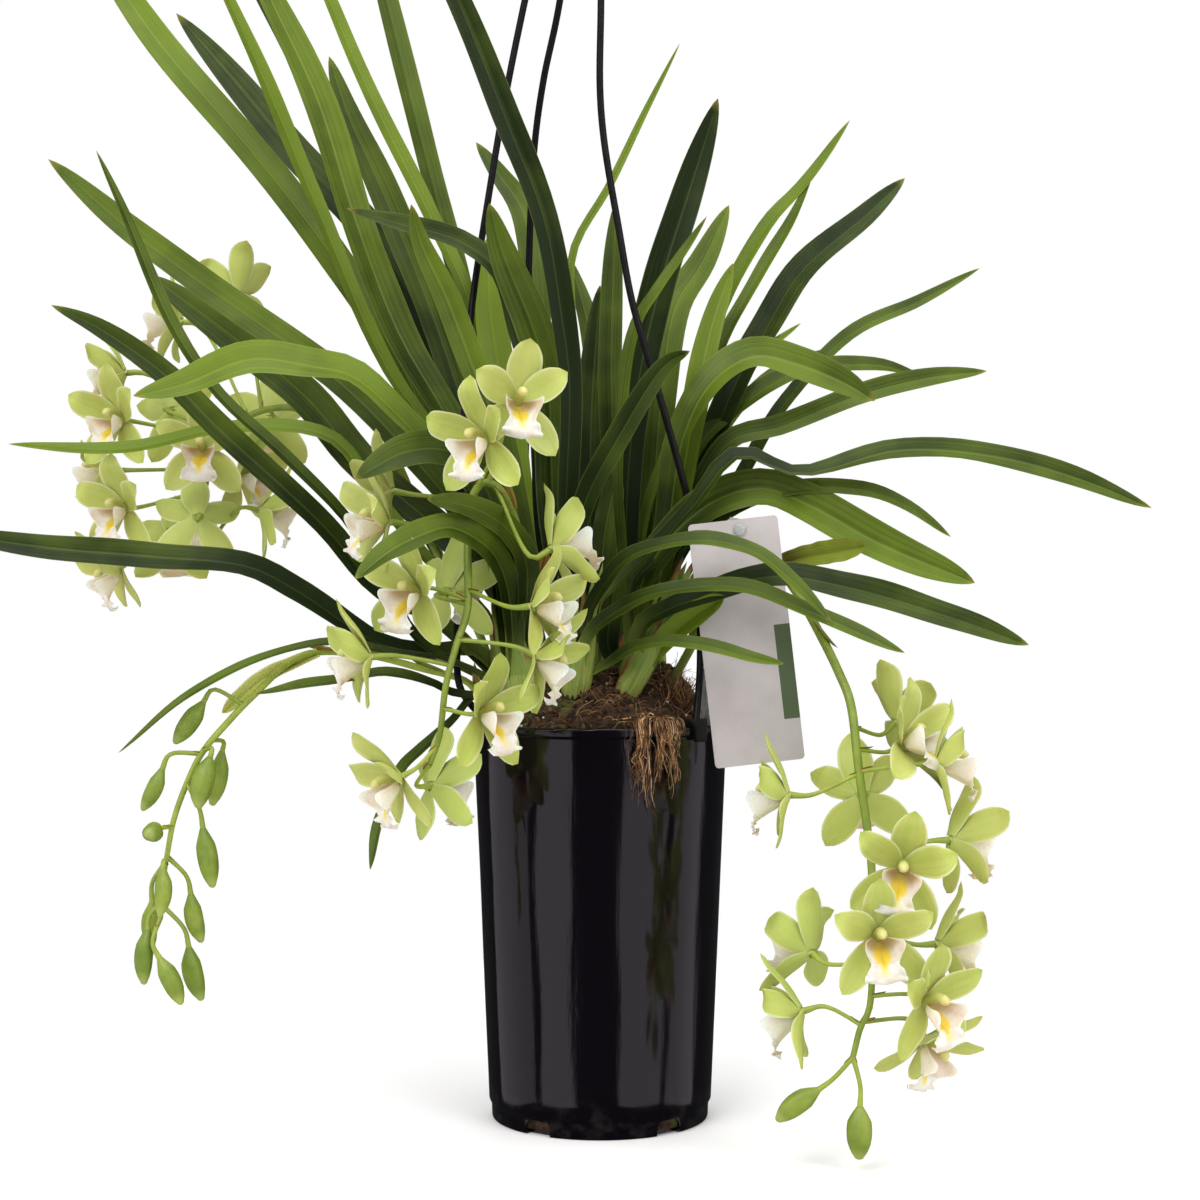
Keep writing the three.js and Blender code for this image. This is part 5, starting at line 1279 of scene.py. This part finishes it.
card.add(tag_middle + loops @ (card_across, card_up, (0, -1, 0)), card_faces,
         loops * (2 / TAG_WIDTH, 2 / TAG_HEIGHT, 0), tone)

paper = Finish("coated card", specular=0.45, coat=0.25, coat_rough=0.12)
card_x, card_y, _ = paper.carried("lay").split()
cloud = paper.mottle(0.03, 4)
paper.colour(cloud.fade(0.3, 0.7), "#b8b2af", "#aca6a3")
band = card_x.fade(0.64, 0.65) * card_y.fade(-0.665, -0.66) * card_y.fade(0.115, 0.11)
paper.colour(band * paper.carried("tone").split()[2].fade(-0.2, 0.2), "#4d5d3e")
paper.gloss(cloud.fade(0.3, 0.7, 0.32, 0.5))
paper.relief(paper.mottle(0.0007, 4) + cloud * 3, 0.00012)
card_piece = card.piece("label_card", [paper], sharp=50)
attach(card_piece, "root")
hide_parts("tag")

stake = Surface()
stake_foot, stake_top = np.array((52, -25, 195.0)), peg_at + (0, 2.1, 6)
stake_up = unit(stake_top - stake_foot)
stake_side = unit(np.array((1.0, 0, 0)) - stake_up * stake_up[0])
stake_axes = np.array((stake_side, np.cross(stake_up, stake_side), stake_up))
w, t = STAKE_WIDTH / 2, STAKE_THICK / 2
stake_outline = [
    (-w, -t), (w, -t), (w, t), (0.9, t), (0.5, t + 0.35), (-0.5, t + 0.35), (-0.9, t), (-w, t),
]
stake_length = np.linalg.norm(stake_top - stake_foot)
add_prism(stake, stake_outline, stake_length, lambda points: stake_foot + points @ stake_axes, 0.4)
head = TAG_THICK / 2 + CLEARANCE
peg_line = [peg_at - (0, along, 0) for along in (-2.2, head, head + 0.6, head + 1.1, head + 1.2)]
add_rod(stake, peg_line[0:3:2], (PEG_RADIUS,) * 2, 20, 4)
head_radii = np.array((1.75, 2.0, 2.0, 1.9, 1.4)) * PEG_RADIUS
add_rod(stake, peg_line[1:4:2], head_radii, 24, 8, tip=peg_line[4])
grey = Finish("frosted grey plastic", specular=0.5, inside=0.3, depth=0.002)
grey.colour(grey.mottle(0.008).fade(0.3, 0.7), "#a2a7a3", "#8a908c")
grey.gloss(grey.mottle(0.002, 4).fade(0.3, 0.7, 0.22, 0.42))
grey.relief(grey.mottle(0.0015), 0.0001)
stake_piece = stake.piece("label_stake_strip", [grey])
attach(stake_piece, "root")
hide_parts("label_stake")

# The roots over the rim: a knot of tan dry roots that have grown out of the mix at the front.
# They hang down the pot's wall as frayed bundles of fine fibres, which part and curl at the end.
KNOT_RADIUS, KNOT_ANGLE, KNOT_FIBRES = 59, -63, 110
LOCKS = (
    (-73.5, 180, 10), (-71.5, 176, 20), (-70, 163, 6), (-65, 190, 22), (-62.5, 184, 32),
    (-60, 182, 34), (-57.5, 186, 26), (-54.5, 196, 7),
)
LOOSE_FIBRES = 34
LOCK_TOP = 211
roots = Surface()


def add_root(turns, heights, stands, radius):
    """A fibre over the rim, down the pot's wall by its turns, heights and stand-offs."""
    inner, angle = KNOT_RADIUS - rng.uniform(1, 8), KNOT_ANGLE + rng.normal(-3, 6.5)
    places = [round_axis(inner, angle, POT_HEIGHT + 1 + rng.uniform(-1, 2))]
    off = rng.uniform(0, 2.4)
    angle = (turns[0] + KNOT_ANGLE) / 2 + rng.normal(0, 1.5)
    places.append(round_axis(RIM - 4.5, angle, POT_HEIGHT + 4 + 0.6 * off))
    angle = turns[0] + rng.normal(0, 0.6)
    places.append(round_axis(RIM, angle, POT_HEIGHT + 2.8 + 0.7 * off))
    for turn, height, stand in zip(turns, heights, stands):
        places.append(round_axis(RIM + 1.1 + stand + 0.4 * off, turn, height))
    radii = np.array((1, 1, 0.9, 0.75, 0.35)) * radius
    add_rod(roots, places, radii, 6, 30, (rng.uniform(0, 1), 0, 1))


for over, low, fibres in LOCKS:
    sway = np.cumsum(rng.normal(0, 0.9, 7))
    for _ in range(fibres):
        heights = np.linspace(LOCK_TOP, low + abs(rng.normal(0, 11)), 7)
        apart = rng.normal(0, 1.25) * np.array((1, 0.8, 0.5, 0.4, 0.45, 0.7, 1.0))
        turns = over + sway + apart + rng.normal(0, 0.6, 7)
        add_root(turns, heights, rng.uniform(0, 1.5, 7), rng.uniform(0.08, 0.36))
for _ in range(LOOSE_FIBRES):
    over, end = rng.uniform(-78, -53), rng.uniform(172, 208)
    turns = over + np.cumsum(rng.normal(0, 1.3, 6))
    heights = np.linspace(LOCK_TOP, end, 6) + rng.normal(0, 1.2, 6)
    add_root(turns, heights, rng.uniform(0, 1.6, 6), rng.uniform(0.09, 0.2))
for _ in range(KNOT_FIBRES):
    a, lift = KNOT_ANGLE + rng.normal(0, 6.5), rng.uniform(0, 4)
    start = round_axis(KNOT_RADIUS + rng.uniform(-7, 6), a, POT_HEIGHT + 1 + lift)
    end = round_axis(KNOT_RADIUS + rng.uniform(-7, 7), a + rng.normal(0, 6), POT_HEIGHT + lift)
    middle = (start + end) / 2 + rng.normal(0, 1.2, 3) + (0, 0, 2)
    radius = rng.uniform(0.2, 0.55)
    add_rod(roots, (start, middle, end), (radius, radius * 0.6), 6, 9, (rng.uniform(0, 1), 0, 1))

dry_root = Finish("dry root", specular=0.3)
cloud = dry_root.mottle(0.004, 4)
strand = dry_root.carried("tone").split()[0]
dry_root.colour(strand + cloud.fade(0.3, 0.7, -0.3, 0.2), "#8a5f35", "#170d06")
dry_root.colour(strand.fade(0.78, 0.86, 0, 0.85), "#c2a074")
dry_root.gloss(cloud.fade(0.3, 0.7, 0.65, 0.85))
dry_root.relief(dry_root.mottle(0.0012, 4), 0.0003)
root_piece = roots.piece("hanging_root_strands", [dry_root])
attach(root_piece, "root")
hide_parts("hanging_roots")
